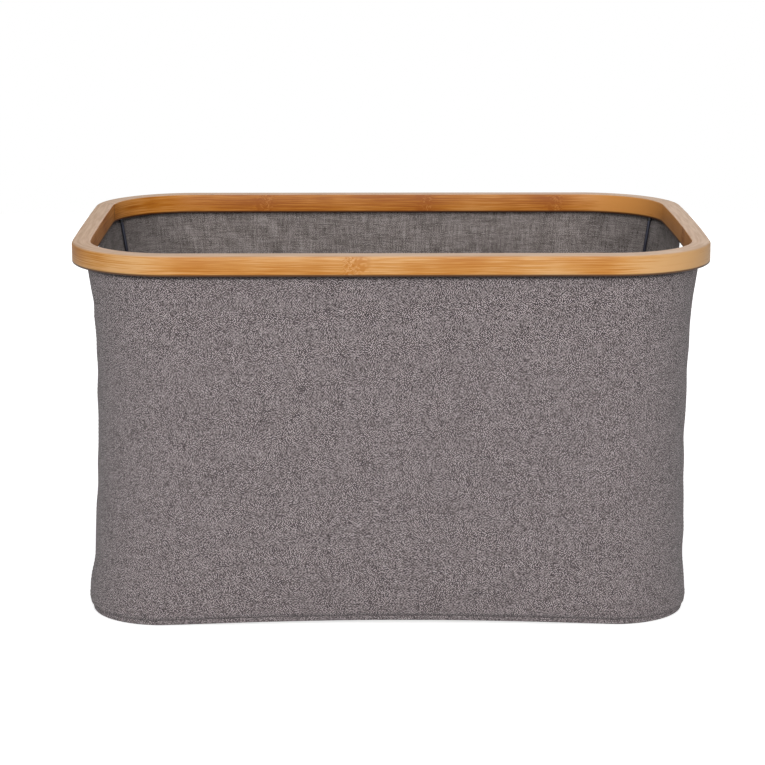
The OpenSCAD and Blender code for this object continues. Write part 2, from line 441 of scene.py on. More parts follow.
@dataclass(frozen=True)
class BambooFinish:
    """Lacquered bamboo, with its fibres running along the band and a paler top.

    Run is the band's length. As painted light, the tone rises towards the pale colour past
    painted_light_from on either end. The upward faces are paler, for their edge grain and as a painted
    reflection, and the downward faces and the lowest strip are darkened as painted shade.
    """

    name: str
    pale: Colour
    middle: Colour
    dark: Colour
    run: float
    knuckles: tuple[Knuckle, ...]
    roughness: float = 0.42
    # colours of the upward faces: the edge grain's own tone with a painted reflection over it
    top_grain_glare_pale: Colour = paint(219, 188, 161)
    top_grain_glare_dark: Colour = paint(199, 165, 136)
    # painted shade colour for the downward faces and the band's lowest strip
    under: Colour = paint(62, 36, 22)
    joint_line: Colour = paint(74, 40, 18)
    joint_half: float = 0.0012
    patch: Grain = Grain(14, 12, 1.0, 0.85)
    broad: Grain = Grain(5, 160, 3.0, 0.50)
    streak: Grain = Grain(17, 1150, 7.0, 1.05, 0.6)
    fine: Grain = Grain(40, 2600, 11.0, 0.60)
    tone: float = 0.43
    # painted light: the tone rises towards both ends of the basket, by painted_light_right and
    # painted_light_left
    painted_light_from: float = 0.16
    painted_light_over: float = 0.08
    painted_light_right: float = 0.42
    painted_light_left: float = 0.14
    drift: float = 0.0009
    waver: float = 0.0011
    chevron: float = 0.0052
    stroke: float = 0.006
    relief: float = 0.00012

    def material(self) -> bpy.types.Material:
        """Builds the finish.

        Returns:
            The material.
        """
        g = Graph(self.name)
        along, across = g.uv()
        x, _, z = g.place()
        tilt = g.attribute("tilt")
        drift = g.noise(g.vector(along * 7, across * 60), 1.0) - 0.5
        fibre = across + drift * self.drift
        for knuckle in self.knuckles:
            fibre = fibre + self._waver(g, knuckle, along, across)
        patch = self.patch.read(g, along, across)
        broad, streak, fine = (
            grain.read(g, along, fibre) for grain in (self.broad, self.streak, self.fine)
        )
        tone = patch * self.patch.share + broad * self.broad.share + streak * self.streak.share
        # _paler adds the painted light towards the basket's ends
        tone = tone + fine * self.fine.share + self._painted_end_light(x) + self.tone
        colour = g.ramp(tone, ((0.26, self.dark), (0.5, self.middle), (0.74, self.pale)))
        for knuckle in self.knuckles:
            colour = self._with_knuckle(g, colour, knuckle, along, across)
        # the upward faces turn paler, partly for their edge grain and partly as a painted reflection
        dry = g.noise(g.vector(along * 26, across * 420, 5.0), 2.0).step(0.3, 0.7)
        top_grain_and_glare = tilt.step(0.35, 0.95)
        colour = g.mix(top_grain_and_glare * 0.94, colour, g.mix(dry, self.top_grain_glare_pale, self.top_grain_glare_dark))
        # painted shade: the downward faces are darkened towards under
        colour = g.mix((tilt * -1).step(0.3, 0.8) * 0.85, colour, self.under)
        # painted shade: the band's lowest strip, just above its underside, is darkened towards under
        painted_low_edge_shade = 1 - (z - RIM_UNDERSIDE).step(0.0013, 0.0025)
        colour = g.mix(painted_low_edge_shade * 0.9, colour, self.under)
        ends = along.repeat(self.run)
        joint = self._at_joint(ends) + self._at_joint(self.run - ends)
        colour = g.mix(joint * 0.9, colour, self.joint_line)
        rough = self.roughness + fine * 0.25 + top_grain_and_glare * 0.25
        normal = g.bump(streak * 0.6 + fine * 0.4, self.relief, 0.6)
        return g.finish(Base_Color=colour, Roughness=rough, Specular_IOR_Level=0.3, Normal=normal)

    def _painted_end_light(self, x: Signal) -> Signal:
        """Gives the painted light that makes the band paler towards the basket's ends.

        Args:
            x: The place's X.

        Returns:
            What to add to the tone.
        """
        right = (x - self.painted_light_from).step(0.0, self.painted_light_over) * self.painted_light_right
        left = (x * -1 - self.painted_light_from).step(0.0, self.painted_light_over) * self.painted_light_left
        return right + left

    def _at_joint(self, distance: Signal) -> Signal:
        """Gives 1 at the joint and 0 past its half width."""
        return (1 - distance / self.joint_half).step(0.0, 0.8)

    def _waver(self, g: Graph, knuckle: Knuckle, along: Signal, across: Signal) -> Signal:
        """Gives the sideways waver of the fibres near a knuckle.

        Args:
            g: The material's graph.
            knuckle: The knuckle.
            along: The distance along the band.
            across: The distance across it.

        Returns:
            The distance that the fibres move across.
        """
        offset = (along - knuckle.along) / knuckle.width
        near = (1 - (offset * 0.7).size()).step(0.0, 1.0)
        turn = offset * 9 + g.noise(g.vector(along * 180, across * 240, 8.0), 1.0) * 9
        return g.maths("SINE", turn) * near * (knuckle.strength * self.waver)

    def _with_knuckle(
        self, g: Graph, colour: Signal, knuckle: Knuckle, along: Signal, across: Signal
    ) -> Signal:
        """Lays one knuckle over the colour.

        Args:
            g: The material's graph.
            colour: The colour so far.
            knuckle: The knuckle.
            along: The distance along the band.
            across: The distance across it.

        Returns:
            The colour with the knuckle on it.
        """
        offset = (along - knuckle.along) / knuckle.width
        zone = (1 - offset.size()).step(0.0, 0.75) * knuckle.strength
        zigzag = ((across / self.chevron).fraction() - 0.5).size()
        rough = g.noise(g.vector(along * 320, across * 420, 4.0), 2.0) - 0.5
        bent = along - zigzag * self.stroke + rough * self.stroke
        stroke = g.noise(g.vector(bent * 700, across * 260, 2.0), 2.0)
        colour = g.mix(zone * 0.30, colour, self.dark)
        colour = g.mix(stroke.step(0.52, 0.64) * zone * 0.8, colour, self.pale)
        colour = g.mix((1 - stroke).step(0.48, 0.60) * zone * 1.2, colour, self.dark)
        beside = (1 - ((offset - 1.0) * 0.9).size()).step(0.0, 0.9)
        blotch = g.noise(g.vector(along * 150, across * 210, 5.0), 1.0).step(0.42, 0.58)
        return g.mix(beside * blotch * knuckle.strength, colour, self.dark)


BambooMaker = Callable[[float, tuple[Knuckle, ...]], BambooFinish]


@dataclass(frozen=True)
class ClothFinish:
    """Plain-woven melange cloth, with slubs and flecks in its yarns.

    Pitch is the width of a yarn. Yarn, fleck and cloud are the strengths of the long streaks,
    of the single crossings and of the wide patches, and spread is how far the tone may run
    either way from the middle colour. A crossing has its own tone and two other layers, and
    crisp sets it off from those beside it. As painted shade, the cloth darkens by corner_shade towards
    the basket's ends, by tuck_shade over the last stretch of height tuck below the rim, and in the gaps
    between its yarns.
    """

    name: str
    dark: Colour
    middle: Colour
    light: Colour
    pitch: float = 0.00085
    slub: float = 0.07
    yarn: float = 0.75
    fleck: float = 1.18
    cloud: float = 0.02
    own: float = 0.85
    other: float = 0.40
    crisp: float = 0.26
    spread: float = 0.28
    sway: float = 0.0003
    relief: float = 0.00016
    sheen: float = 0.12
    corner_shade: float = 0.0
    corner_from: float = 0.17
    corner_to: float = 0.235
    tuck: float = 0.0046
    tuck_shade: float = 0.75

    def material(self) -> bpy.types.Material:
        """Builds the finish.

        Returns:
            The material.
        """
        g = Graph(self.name)
        u, v = g.uv()
        sway = g.noise(g.vector(u * 90, v * 90), 1.0) - 0.5
        a = (u + sway * self.sway) / self.pitch
        b = (v + sway * self.sway) / self.pitch
        warp, weft = a.floor(), b.floor()
        over = (warp + weft).repeat(2.0)
        warp_tone = g.noise(g.vector(warp * 3.17, b * self.slub, 4.0), 1.0)
        weft_tone = g.noise(g.vector(a * self.slub, weft * 2.73, 9.0), 1.0)
        yarn = self._upper(warp_tone, weft_tone, over) - 0.5
        raised = self._upper(self._rounded(a), self._rounded(b), over)
        cell = self._crossings(g, warp, weft, over)
        cloud = g.noise(g.vector(u * 45, v * 45, 2.0), 2.0) - 0.5
        tone = yarn * self.yarn + cell * self.fleck + cloud * self.cloud + 0.5
        stops = ((0.5 - self.spread, self.dark), (0.5, self.middle), (0.5 + self.spread, self.light))
        x, _, z = g.place()
        # painted shadow: the cloth darkens over the band of height tuck just below the rim
        painted_rim_shadow = (z - RIM_UNDERSIDE + self.tuck).step(0.0, self.tuck * 0.5) * self.tuck_shade
        # painted shade: the cloth also darkens by corner_shade towards the basket's ends
        painted_shade = 1 - x.size().step(self.corner_from, self.corner_to) * self.corner_shade - painted_rim_shadow
        # painted shade in the gaps between yarns, where raised is low
        colour = g.scaled(g.ramp(tone, stops), (raised * 0.34 + 0.76) * painted_shade)
        normal = g.bump(raised + yarn * 0.4, self.relief)
        return g.finish(
            Base_Color=colour, Roughness=0.92, Normal=normal, Sheen_Weight=self.sheen, Sheen_Roughness=0.5
        )

    def _crossings(self, g: Graph, warp: Signal, weft: Signal, over: Signal) -> Signal:
        """Gives each crossing of two yarns its tone.

        Args:
            g: The material's graph.
            warp: The number of the warp yarn.
            weft: The number of the weft yarn.
            over: 1 where the warp lies over the weft, else 0.

        Returns:
            The tone, spread evenly about 0.
        """
        cell = (g.flecks(g.vector(warp, weft, over)) - 0.5) * self.own
        for layer in (3, 5):
            cell = cell + (g.flecks(g.vector(warp, weft, over + layer)) - 0.5) * self.other
        for step in (-1, 1):
            beside = g.flecks(g.vector(warp + step, weft, 1 - over))
            above = g.flecks(g.vector(warp, weft + step, 1 - over))
            cell = cell - (beside + above - 1) * self.crisp
        return cell

    @staticmethod
    def _upper(warp: Signal, weft: Signal, over: Signal) -> Signal:
        """Takes the warp's value where it lies over the weft, and the weft's elsewhere."""
        return weft + (warp - weft) * over

    @staticmethod
    def _rounded(across: Signal) -> Signal:
        """Gives a yarn's height, from 0 at its edges to 1 in its middle."""
        return 1 - ((across.fraction() - 0.5) * 2).size() ** 2.5


@dataclass(frozen=True)
class MetalFinish:
    """Drawn and polished wire, with faint lines along it."""

    name: str
    colour: Colour
    roughness: float

    def material(self) -> bpy.types.Material:
        """Builds the finish.

        Returns:
            The material.
        """
        g = Graph(self.name)
        x, y, z = g.place()
        drawn = g.noise(g.vector(x * 900, y * 900, z * 60), 2.0)
        rough = self.roughness + (drawn - 0.5) * 0.12
        tint = g.mix(drawn.step(0.3, 0.7) * 0.3, self.colour, paint(120, 124, 132))
        return g.finish(
            Base_Color=tint, Metallic=1.0, Roughness=rough, Normal=g.bump(drawn, 0.00002)
        )


@dataclass(frozen=True)
class PlasticFinish:
    """Moulded plastic with a fine matt grain."""

    name: str
    colour: Colour

    def material(self) -> bpy.types.Material:
        """Builds the finish.

        Returns:
            The material.
        """
        g = Graph(self.name)
        x, y, z = g.place()
        grain = g.noise(g.vector(x * 2500, y * 2500, z * 2500), 2.0)
        colour = g.mix(grain.step(0.4, 0.7) * 0.35, self.colour, paint(58, 58, 62))
        rough = 0.5 + (grain - 0.5) * 0.2
        return g.finish(Base_Color=colour, Roughness=rough, Normal=g.bump(grain, 0.00004))


@dataclass(frozen=True)
class BoardFinish:
    """Pressed fibreboard, with chips and long fibres in it."""

    name: str
    colour: Colour

    def material(self) -> bpy.types.Material:
        """Builds the finish.

        Returns:
            The material.
        """
        g = Graph(self.name)
        x, y, z = g.place()
        chips = g.noise(g.vector(x * 320, y * 260, z * 900), 3.0, 0.6)
        fibres = g.noise(g.vector(x * 90, y * 1400, z * 1400), 2.0)
        colour = g.mix(chips.step(0.35, 0.7), self.colour, paint(122, 98, 70))
        colour = g.mix(fibres.step(0.55, 0.75) * 0.5, colour, paint(186, 160, 124))
        return g.finish(Base_Color=colour, Roughness=0.85, Normal=g.bump(chips, 0.00015))


@dataclass(frozen=True)
class ThreadFinish:
    """Spun sewing thread."""

    name: str
    colour: Colour

    def material(self) -> bpy.types.Material:
        """Builds the finish.

        Returns:
            The material.
        """
        g = Graph(self.name)
        x, y, z = g.place()
        ply = g.noise(g.vector(x * 3200, y * 3200, z * 3200), 1.0)
        colour = g.mix(ply.step(0.35, 0.65) * 0.5, self.colour, paint(88, 81, 82))
        return g.finish(Base_Color=colour, Roughness=0.75, Normal=g.bump(ply, 0.00008))


# ---- outlines, sections and sweeps ----


@dataclass(frozen=True)
class Outline:
    """A rounded rectangle round the basket, seen from above.

    A place on it runs anticlockwise from 0 to 8. Even stretches are the straight sides, from
    the right end on by way of the back, and odd ones are the corners that follow them.
    """

    half_x: float
    half_y: float
    radius: float

    def inset(self, by: float) -> "Outline":
        """Gives the outline that lies further in."""
        return Outline(self.half_x - by, self.half_y - by, self.radius - by)

    def mixed(self, other: "Outline", share: float) -> "Outline":
        """Gives the outline a share of the way to another.

        Args:
            other: The other outline.
            share: The share, from 0 to 1.

        Returns:
            The outline between them.
        """
        pairs = zip(
            (self.half_x, self.half_y, self.radius), (other.half_x, other.half_y, other.radius)
        )
        return Outline(*(here + (there - here) * share for here, there in pairs))

    def _middle(self, corner: int) -> Vector:
        """Gives the middle of a corner's arc."""
        side_x, side_y = ((1, 1), (-1, 1), (-1, -1), (1, -1))[corner % 4]
        return Vector((side_x * (self.half_x - self.radius), side_y * (self.half_y - self.radius), 0))

    def at(self, place: float) -> tuple[Vector, Vector]:
        """Finds a place on the outline.

        Args:
            place: The place, from 0 to 8 and past either end.

        Returns:
            The point, and the direction straight out from it.
        """
        stretch = math.floor(place)
        share = place - stretch
        side, in_corner = divmod(stretch % 8, 2)
        turn = math.pi / 2 * (side + (share if in_corner else 0))
        out = Vector((math.cos(turn), math.sin(turn), 0))
        if in_corner:
            return self._middle(side) + out * self.radius, out
        return self._middle(side - 1).lerp(self._middle(side), share) + out * self.radius, out

    def at_x(self, x: float, front: bool) -> float:
        """Finds a place by its X.

        Args:
            x: The X.
            front: Whether the place is on the front, or else on the back.

        Returns:
            The place.
        """
        start, sign = (6, 1) if front else (2, -1)
        straight = self.half_x - self.radius
        return start + (sign * x + straight) / (2 * straight)

    def at_y(self, y: float, end: End) -> float:
        """Finds the place on an end where Y has a value."""
        return end.value + (1 + end.away * y / (self.half_y - self.radius)) / 2

    def distance(self, place: float) -> float:
        """Measures along the outline from place 0.

        Args:
            place: The place to measure to.

        Returns:
            The distance, which goes on growing past 8.
        """
        end = 2 * (self.half_y - self.radius)
        side = 2 * (self.half_x - self.radius)
        arc = self.radius * math.pi / 2
        lengths = (end, arc, side, arc) * 2
        laps, rest = divmod(place, 8)
        whole = int(rest)
        return laps * sum(lengths) + sum(lengths[:whole]) + (rest - whole) * lengths[whole]

    def frames(self, start: float, corner_steps: int, side_steps: int) -> list[tuple[Matrix, float]]:
        """Lists the frames for a sweep once round the outline.

        In a frame X points in, Y up and Z along the outline.

        Args:
            start: The place where the sweep starts and ends.
            corner_steps: How many steps a corner takes.
            side_steps: How many steps a straight side takes.

        Returns:
            Each frame with its distance from the start.
        """
        places = [start]
        for stretch in range(math.floor(start), math.floor(start) + 9):
            steps = corner_steps if stretch % 2 else side_steps
            places += [stretch + i / steps for i in range(steps)]
        kept = sorted(p for p in set(places) if start <= p < start + 8 - MERGE) + [start + 8]
        return [(self._frame(p), self.distance(p) - self.distance(start)) for p in kept]

    def _frame(self, place: float) -> Matrix:
        """Gives the sweep's frame at a place."""
        point, out = self.at(place)
        return frame_of(point, -out, UP)


def frame_of(origin: Vector, x_axis: Vector, y_axis: Vector) -> Matrix:
    """Builds a frame from its origin and two of its axes.

    Args:
        origin: The frame's origin.
        x_axis: The direction of X, of length 1.
        y_axis: The direction of Y, of length 1 and square to X.

    Returns:
        The frame as a matrix.
    """
    columns = (x_axis, y_axis, x_axis.cross(y_axis))
    turned = Matrix([list(c) for c in columns]).transposed().to_4x4()
    return Matrix.Translation(origin) @ turned


@dataclass(frozen=True)
class Section:
    """A section to sweep, as its corners with their rounding. An open one is a folded strip."""

    corners: tuple[Corner, ...]
    is_open: bool = False
    steps: int = 4

    def draw(self, mesh: bmesh.types.BMesh) -> list[bmesh.types.BMEdge]:
        """Draws the section on the XY plane, with the distance round it on each vertex.

        Args:
            mesh: The mesh to draw in, which has a vertex layer named girth.

        Returns:
            The section's edges.
        """
        girth = mesh.verts.layers.float["girth"]
        points = [mesh.verts.new((x, y, 0)) for x, y, _ in self.corners]
        first = points[0].co.copy()
        mesh.faces.new(points)
        for point, (_, _, rounding) in zip(points, self.corners):
            if rounding > 0:
                bmesh.ops.bevel(
                    mesh, geom=[point], offset=rounding, offset_type="OFFSET", segments=self.steps,
                    profile=0.5, affect="VERTICES", material=-1,
                )
        mesh.faces.ensure_lookup_table()
        face = mesh.faces[0]
        ring = list(face.verts)
        nearest = min(range(len(ring)), key=lambda i: (ring[i].co - first).length)
        ring = ring[nearest:] + ring[:nearest]
        travelled = 0.0
        for before, after in pairwise(ring):
            travelled += (after.co - before.co).length
            after[girth] = travelled
        bmesh.ops.delete(mesh, geom=[face], context="FACES_ONLY")
        if self.is_open:
            bmesh.ops.delete(mesh, geom=[mesh.edges.get((ring[-1], ring[0]))], context="EDGES")
        return list(mesh.edges)


def sweep(section: Section, frames: Sequence[tuple[Matrix, float]]) -> bmesh.types.BMesh:
    """Extrudes a section from frame to frame, and closes it where the last is the first again.

    Args:
        section: The section.
        frames: Each frame with its distance along the sweep.

    Returns:
        The mesh, with a UV map of the distances along it and round it.
    """
    mesh = bmesh.new()
    along = mesh.verts.layers.float.new("along")
    girth = mesh.verts.layers.float.new("girth")
    ring = section.draw(mesh)
    bmesh.ops.transform(mesh, matrix=frames[0][0], verts=mesh.verts)
    for (before, _), (after, travelled) in pairwise(frames):
        points, ring = extruded(mesh, ring)
        bmesh.ops.transform(mesh, matrix=after @ before.inverted(), verts=points)
        for point in points:
            point[along] = travelled
    write_sweep_uv(mesh, along, girth)
    bmesh.ops.remove_doubles(mesh, verts=mesh.verts, dist=MERGE)
    bmesh.ops.recalc_face_normals(mesh, faces=mesh.faces)
    return mesh


def extruded(
    mesh: bmesh.types.BMesh, line: list[bmesh.types.BMEdge]
) -> tuple[list[bmesh.types.BMVert], list[bmesh.types.BMEdge]]:
    """Extrudes a line of edges, which stays in place until its vertices are moved.

    Args:
        mesh: The mesh that the line is in.
        line: The edges.

    Returns:
        The new line's vertices, and its edges.
    """
    made = list(dict.fromkeys(bmesh.ops.extrude_edge_only(mesh, edges=line)["geom"]))
    points = [part for part in made if isinstance(part, bmesh.types.BMVert)]
    known = set(points)
    edges = [
        part for part in made if isinstance(part, bmesh.types.BMEdge) and known.issuperset(part.verts)
    ]
    return points, edges


def write_uv(
    mesh: bmesh.types.BMesh, spot: Callable[[bmesh.types.BMVert], tuple[float, float]]
) -> None:
    """Writes a sheet's UV map.

    Args:
        mesh: The sheet.
        spot: Gives a vertex's U and V, in metres.
    """
    uv = mesh.loops.layers.uv.new(UV_MAP)
    for face in mesh.faces:
        for loop in face.loops:
            loop[uv].uv = spot(loop.vert)


def turn_faces(mesh: bmesh.types.BMesh, side: Vector | None = None) -> None:
    """Turns all of a sheet's faces to one side.

    Args:
        mesh: The sheet.
        side: The side that its first face is turned to, or None for out of the basket.
    """
    mesh.faces.ensure_lookup_table()
    face = mesh.faces[0]
    face.normal_update()
    if side is None:
        side = face.calc_center_median()
        side.z = 0
    if face.normal.dot(side) < 0:
        bmesh.ops.reverse_faces(mesh, faces=mesh.faces)


def write_sweep_uv(
    mesh: bmesh.types.BMesh, u_layer: bmesh.types.BMLayerItem, v_layer: bmesh.types.BMLayerItem
) -> None:
    """Writes two vertex layers into the UV map, mended where the section closes on itself.

    Args:
        mesh: The mesh.
        u_layer: The vertex layer for U.
        v_layer: The vertex layer for V, which runs from 0 at the section's start.
    """
    uv = mesh.loops.layers.uv.new(UV_MAP)
    jump = 0.6 * max(vert[v_layer] for vert in mesh.verts)
    for face in mesh.faces:
        across = max(face.edges, key=lambda e: abs(e.verts[0][v_layer] - e.verts[1][v_layer]))
        low, high = sorted(vert[v_layer] for vert in across.verts)
        wraps = high - low > jump
        for loop in face.loops:
            v = loop.vert[v_layer]
            if wraps and v == low:
                v = high + across.calc_length()
            loop[uv].uv = (loop.vert[u_layer], v)


# ---- pieces ----


def add_object(name: str, data: bpy.types.ID) -> bpy.types.Object:
    """Makes an object and links it to the scene.

    Args:
        name: The object's name.
        data: Its mesh, camera or light.

    Returns:
        The object.
    """
    made = bpy.data.objects.new(name, data)
    bpy.context.scene.collection.objects.link(made)
    return made


@dataclass
class Piece:
    """One visible piece of the basket.

    It may stand for CAD nodes, which then aren't shown. A piece that follows the wall gets a mesh of its
    own.
    """

    name: str
    body: Body
    slot: Slot
    stands_for: tuple[str, ...] = ()
    follows_wall: bool = False

    def make(
        self, mesh: bmesh.types.BMesh, material: bpy.types.Material, sharp: float = 40
    ) -> bpy.types.Object:
        """Turns a mesh into the piece's object.

        Args:
            mesh: The finished mesh, which is freed.
            material: The piece's material.
            sharp: The angle in degrees past which an edge stays sharp.

        Returns:
            The object, which isn't on its body yet.
        """
        data = bpy.data.meshes.new(self.name)
        mesh.to_mesh(data)
        mesh.free()
        data.shade_smooth()
        data.set_sharp_from_angle(angle=math.radians(sharp))
        data.materials.append(material)
        return add_object(self.name, data)

    def fit(self, made: bpy.types.Object) -> bpy.types.Object:
        """Puts the object on its body, hides the nodes that it replaces and gives a piece that follows the
        wall a mesh of its own.

        Args:
            made: The piece's object, with its final mesh.

        Returns:
            The same object.
        """
        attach(made, self.body.value)
        if self.stands_for:
            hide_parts(*self.stands_for)
        if self.follows_wall:
            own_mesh(made)
        log.info("%s: %d faces on %s", made.name, len(made.data.polygons), self.body.value)
        return made


def thicken(made: bpy.types.Object, thickness: float, centred: bool = False) -> None:
    """Gives a sheet its thickness.

    Args:
        made: The sheet's object.
        thickness: The thickness of the cloth.
        centred: Whether half of it lies on either side of the sheet, instead of all behind it.
    """
    wall = made.modifiers.new("thickness", "SOLIDIFY")
    wall.thickness = thickness
    wall.offset = 0.0 if centred else -1.0
    wall.use_even_offset = True


@dataclass
class Cloth(Piece):
    """A piece of cloth, with its thickness, how it is held and what it rests on."""

    thickness: float = 0.001
    centred: bool = False
    held: Hold = Hold.STRETCHED
    rests_on: tuple[str, ...] = ()

    def sew(
        self, mesh: bmesh.types.BMesh, material: bpy.types.Material, flat: tuple[float, float],
        area: float | None = None, sharp: float = 40,
    ) -> bpy.types.Object:
        """Makes the cloth, gives it its thickness and puts it on its body.

        Args:
            mesh: The sheet, which is freed.
            material: The cloth's material.
            flat: The size of its flat cut. It is not used.
            area: The area of that cut, where it isn't a rectangle. It is not used.
            sharp: The angle in degrees past which an edge stays sharp.

        Returns:
            The object.
        """
        made = self.make(mesh, material, sharp)
        thicken(made, self.thickness, self.centred)
        self.fit(made)
        return made


# ---- fabric wall ----


@dataclass(frozen=True)
class Station:
    """An upright line on the wall: its place, how far its top drops, and the Y that it keeps."""

    place: float
    drop: float = 0.0
    held_y: float | None = None


@dataclass(frozen=True)
class WallForm:
    """The stretched form of the wall, from its foot to the rim.

    The wall is drawn in at its waist and turned in at its foot, and the foot of the front and
    the back bows in and lifts towards its middle. Each end has a scooped hand opening. Left_pull
    and right_pull say how far in the ends' cloth lies at each height, slack how far the upper
    cloth hangs out between the corners, and drawn how far it is drawn in near the left front
    corner. The waist's and the bow's powers say how sharply each fades.
    """

    top: Outline = Outline(0.2705, 0.1965, 0.0825)
    foot: Outline = Outline(0.268, 0.195, 0.070)
    waist_end: float = 0.0068
    waist_side: float = 0.0040
    waist_at: float = 0.55
    upper_power: float = 3.4
    lower_power: float = 1.6
    turn_in: float = 0.004
    turn_height: float = 0.012
    hand_half: float = 0.049
    hand_depth: float = 0.036
    tape: float = 0.004
    bow_half: float = 0.205
    bow_lift: float = 0.0032
    bow_recess: float = 0.0040
    bow_side_power: float = 1.3
    bow_rise_power: float = 6
    recess_to: float = 0.19
    lift_from: float = 0.158
    lift_over: float = 0.028
    pull_from: float = 0.12
    pull_over: float = 0.13
    left_pull: tuple[tuple[float, float], ...] = (
        (0.005, -0.0019), (0.020, -0.0010), (0.048, 0.0021), (0.075, 0.0020), (0.112, 0.0029),
        (0.148, 0.0033), (0.185, 0.0035), (0.222, 0.0041), (0.240, 0.0038), (0.264, 0.0021),
        (0.285, 0.0010), (0.311, 0.0006),
    )
    right_pull: tuple[tuple[float, float], ...] = (
        (0.005, 0.0035), (0.020, 0.0045), (0.040, 0.0052), (0.075, 0.0033), (0.112, 0.0024),
        (0.148, 0.0022), (0.185, 0.0008), (0.258, 0.0002), (0.311, -0.0004),
    )
    slack: tuple[tuple[float, float], ...] = (
        (0.240, 0.0), (0.280, -0.0040), (0.302, -0.0040), (0.311, -0.0002),
    )
    slack_y: float = 0.030
    slack_half: float = 0.100
    drawn: tuple[tuple[float, float], ...] = (
        (0.225, 0.0), (0.243, 0.0007), (0.260, 0.0016), (0.278, 0.0030), (0.304, 0.0030), (0.311, 0.0006),
    )
    drawn_from: float = -0.147
    drawn_over: float = 0.012
    drawn_fade: float = 0.1
    fold: float = 0.00022
    long_fold: float = 0.052
    short_fold: float = 0.033
    fold_edge: float = 0.03
    rows: int = 60
    corner_steps: int = 18
    side_steps: int = 40
    opening_steps: int = 36
    flank_steps: int = 6

    def rise(self, z: float) -> float:
        """Gives a height as a share of the wall's height."""
        return (z - FOOT) / WALL_HEIGHT

    def outline(self, z: float) -> Outline:
        """Gives the wall's outer outline at a height.

        Args:
            z: The height.

        Returns:
            The outline there.
        """
        u = min(1.0, max(0.0, self.rise(z)))
        if u > self.waist_at:
            pull = 1 - ((u - self.waist_at) / (1 - self.waist_at)) ** self.upper_power
        else:
            pull = 1 - ((self.waist_at - u) / self.waist_at) ** self.lower_power
        left = min(1.0, max(0.0, (z - FOOT) / self.turn_height))
        turned = self.turn_in * (1 - math.sqrt(1 - (1 - left) ** 2))
        plain = self.foot.mixed(self.top, u)
        return Outline(
            plain.half_x - self.waist_end * pull - turned,
            plain.half_y - self.waist_side * pull - turned,
            plain.radius - turned,
        )

    def settled(self, point: Vector, rise: float) -> Vector:
        """Lets a point of the base or the wall settle as the sewn cloth does.

        Args:
            point: The point, on the even form.
            rise: Its height as a share of the wall's.

        Returns:
            Where the point settles.
        """
        pulled = self._end_pull(point, FOOT + rise * WALL_HEIGHT)
        recess, lift = self._foot_bow(point, rise)
        away = math.copysign(1.0, point.x)
        return point + Vector((-away * pulled, -math.copysign(recess, point.y), lift))

    def _end_pull(self, point: Vector, z: float) -> float:
        """Gives how far in an end's cloth lies from the even form.

        Args:
            point: The point, on the even form.
            z: Its height on the wall.

        Returns:
            The distance, which is negative where the cloth hangs out.
        """
        pull = eased(self.left_pull if point.x < 0 else self.right_pull, z)
        loose = max(0.0, 1 - ((point.y - self.slack_y) / self.slack_half) ** 2) ** 2
        pull += eased(self.slack, z) * loose
        if point.x < 0:
            at_corner = smooth((point.y - self.drawn_from) / self.drawn_over)
            at_corner *= smooth(-point.y / self.drawn_fade)
            pull += eased(self.drawn, z) * at_corner * (1 - loose)
        return pull * smooth((abs(point.x) - self.pull_from) / self.pull_over)

    def _foot_bow(self, point: Vector, rise: float) -> tuple[float, float]:
        """Gives how the foot of the front and the back bows.

        Args:
            point: The point, on the even form.
            rise: Its height as a share of the wall's.

        Returns:
            How far the point lies in, and how far up.
        """
        middle = max(0.0, 1 - (point.x / self.bow_half) ** 2) ** self.bow_side_power
        low = middle * max(0.0, 1 - rise) ** self.bow_rise_power
        recess = self.bow_recess * low * min(1.0, abs(point.y) / self.recess_to) ** 4
        lift = self.bow_lift * low * smooth((abs(point.y) - self.lift_from) / self.lift_over)
        return recess, lift

    def ripple(self, place: float, z: float) -> float:
        """Gives the depth of the faint cross folds, along which the cloth crumples.

        Args:
            place: The place on the outline.
            z: The height.

        Returns:
            How far in the cloth lies.
        """
        inside = min(1.0, max(0.0, min(z - FOOT, WALL_TOP - z) / self.fold_edge))
        shift = math.sin(place * 2.3 + 1.1) * 1.4 + math.sin(place * 5.1)
        wave = math.sin(z * 2 * math.pi / self.long_fold + shift)
        wave += 0.6 * math.sin(z * 2 * math.pi / self.short_fold - shift * 1.7)
        return self.fold * wave * inside

    def point(self, station: Station, z: float, inward: float) -> Vector:
        """Finds a point in the wall.

        Args:
            station: The line that it is on.
            z: Its height.
            inward: How far in from the wall's outer face it lies.

        Returns:
            The point.
        """
        spot, out = self.outline(z).at(station.place)
        if station.held_y is not None:
            spot.y = station.held_y
        spot -= out * (inward + self.ripple(station.place, z))
        spot.z = z
        return self.settled(spot, self.rise(z))

    def end_stations(self, end: End) -> list[Station]:
        """Lists the lines across one end, close together at the hand opening.

        Args:
            end: The end.

        Returns:
            The stations, anticlockwise.
        """
        cut_half = self.hand_half + self.tape
        cut_depth = self.hand_depth + self.tape
        straight = self.top.half_y - self.top.radius
        flank = (straight - cut_half) / (2 * straight)
        beside = [flank * i / self.flank_steps for i in range(self.flank_steps)]
        before = [Station(end.value + share) for share in beside]
        opening = []
        for turn in half_turn(self.opening_steps):
            y = end.away * cut_half * math.sin(turn)
            drop = cut_depth * max(0.0, math.cos(turn))
            opening.append(Station(self.top.at_y(y, end), drop, y))
        after = [Station(end.value + 1 - share) for share in reversed(beside)]
        return before + opening + after

    @staticmethod
    def plain_stations(start: float, stop: float, steps: int) -> list[Station]:
        """Lists evenly spaced lines from one place to another."""
        return [Station(start + (stop - start) * i / steps) for i in range(steps + 1)]

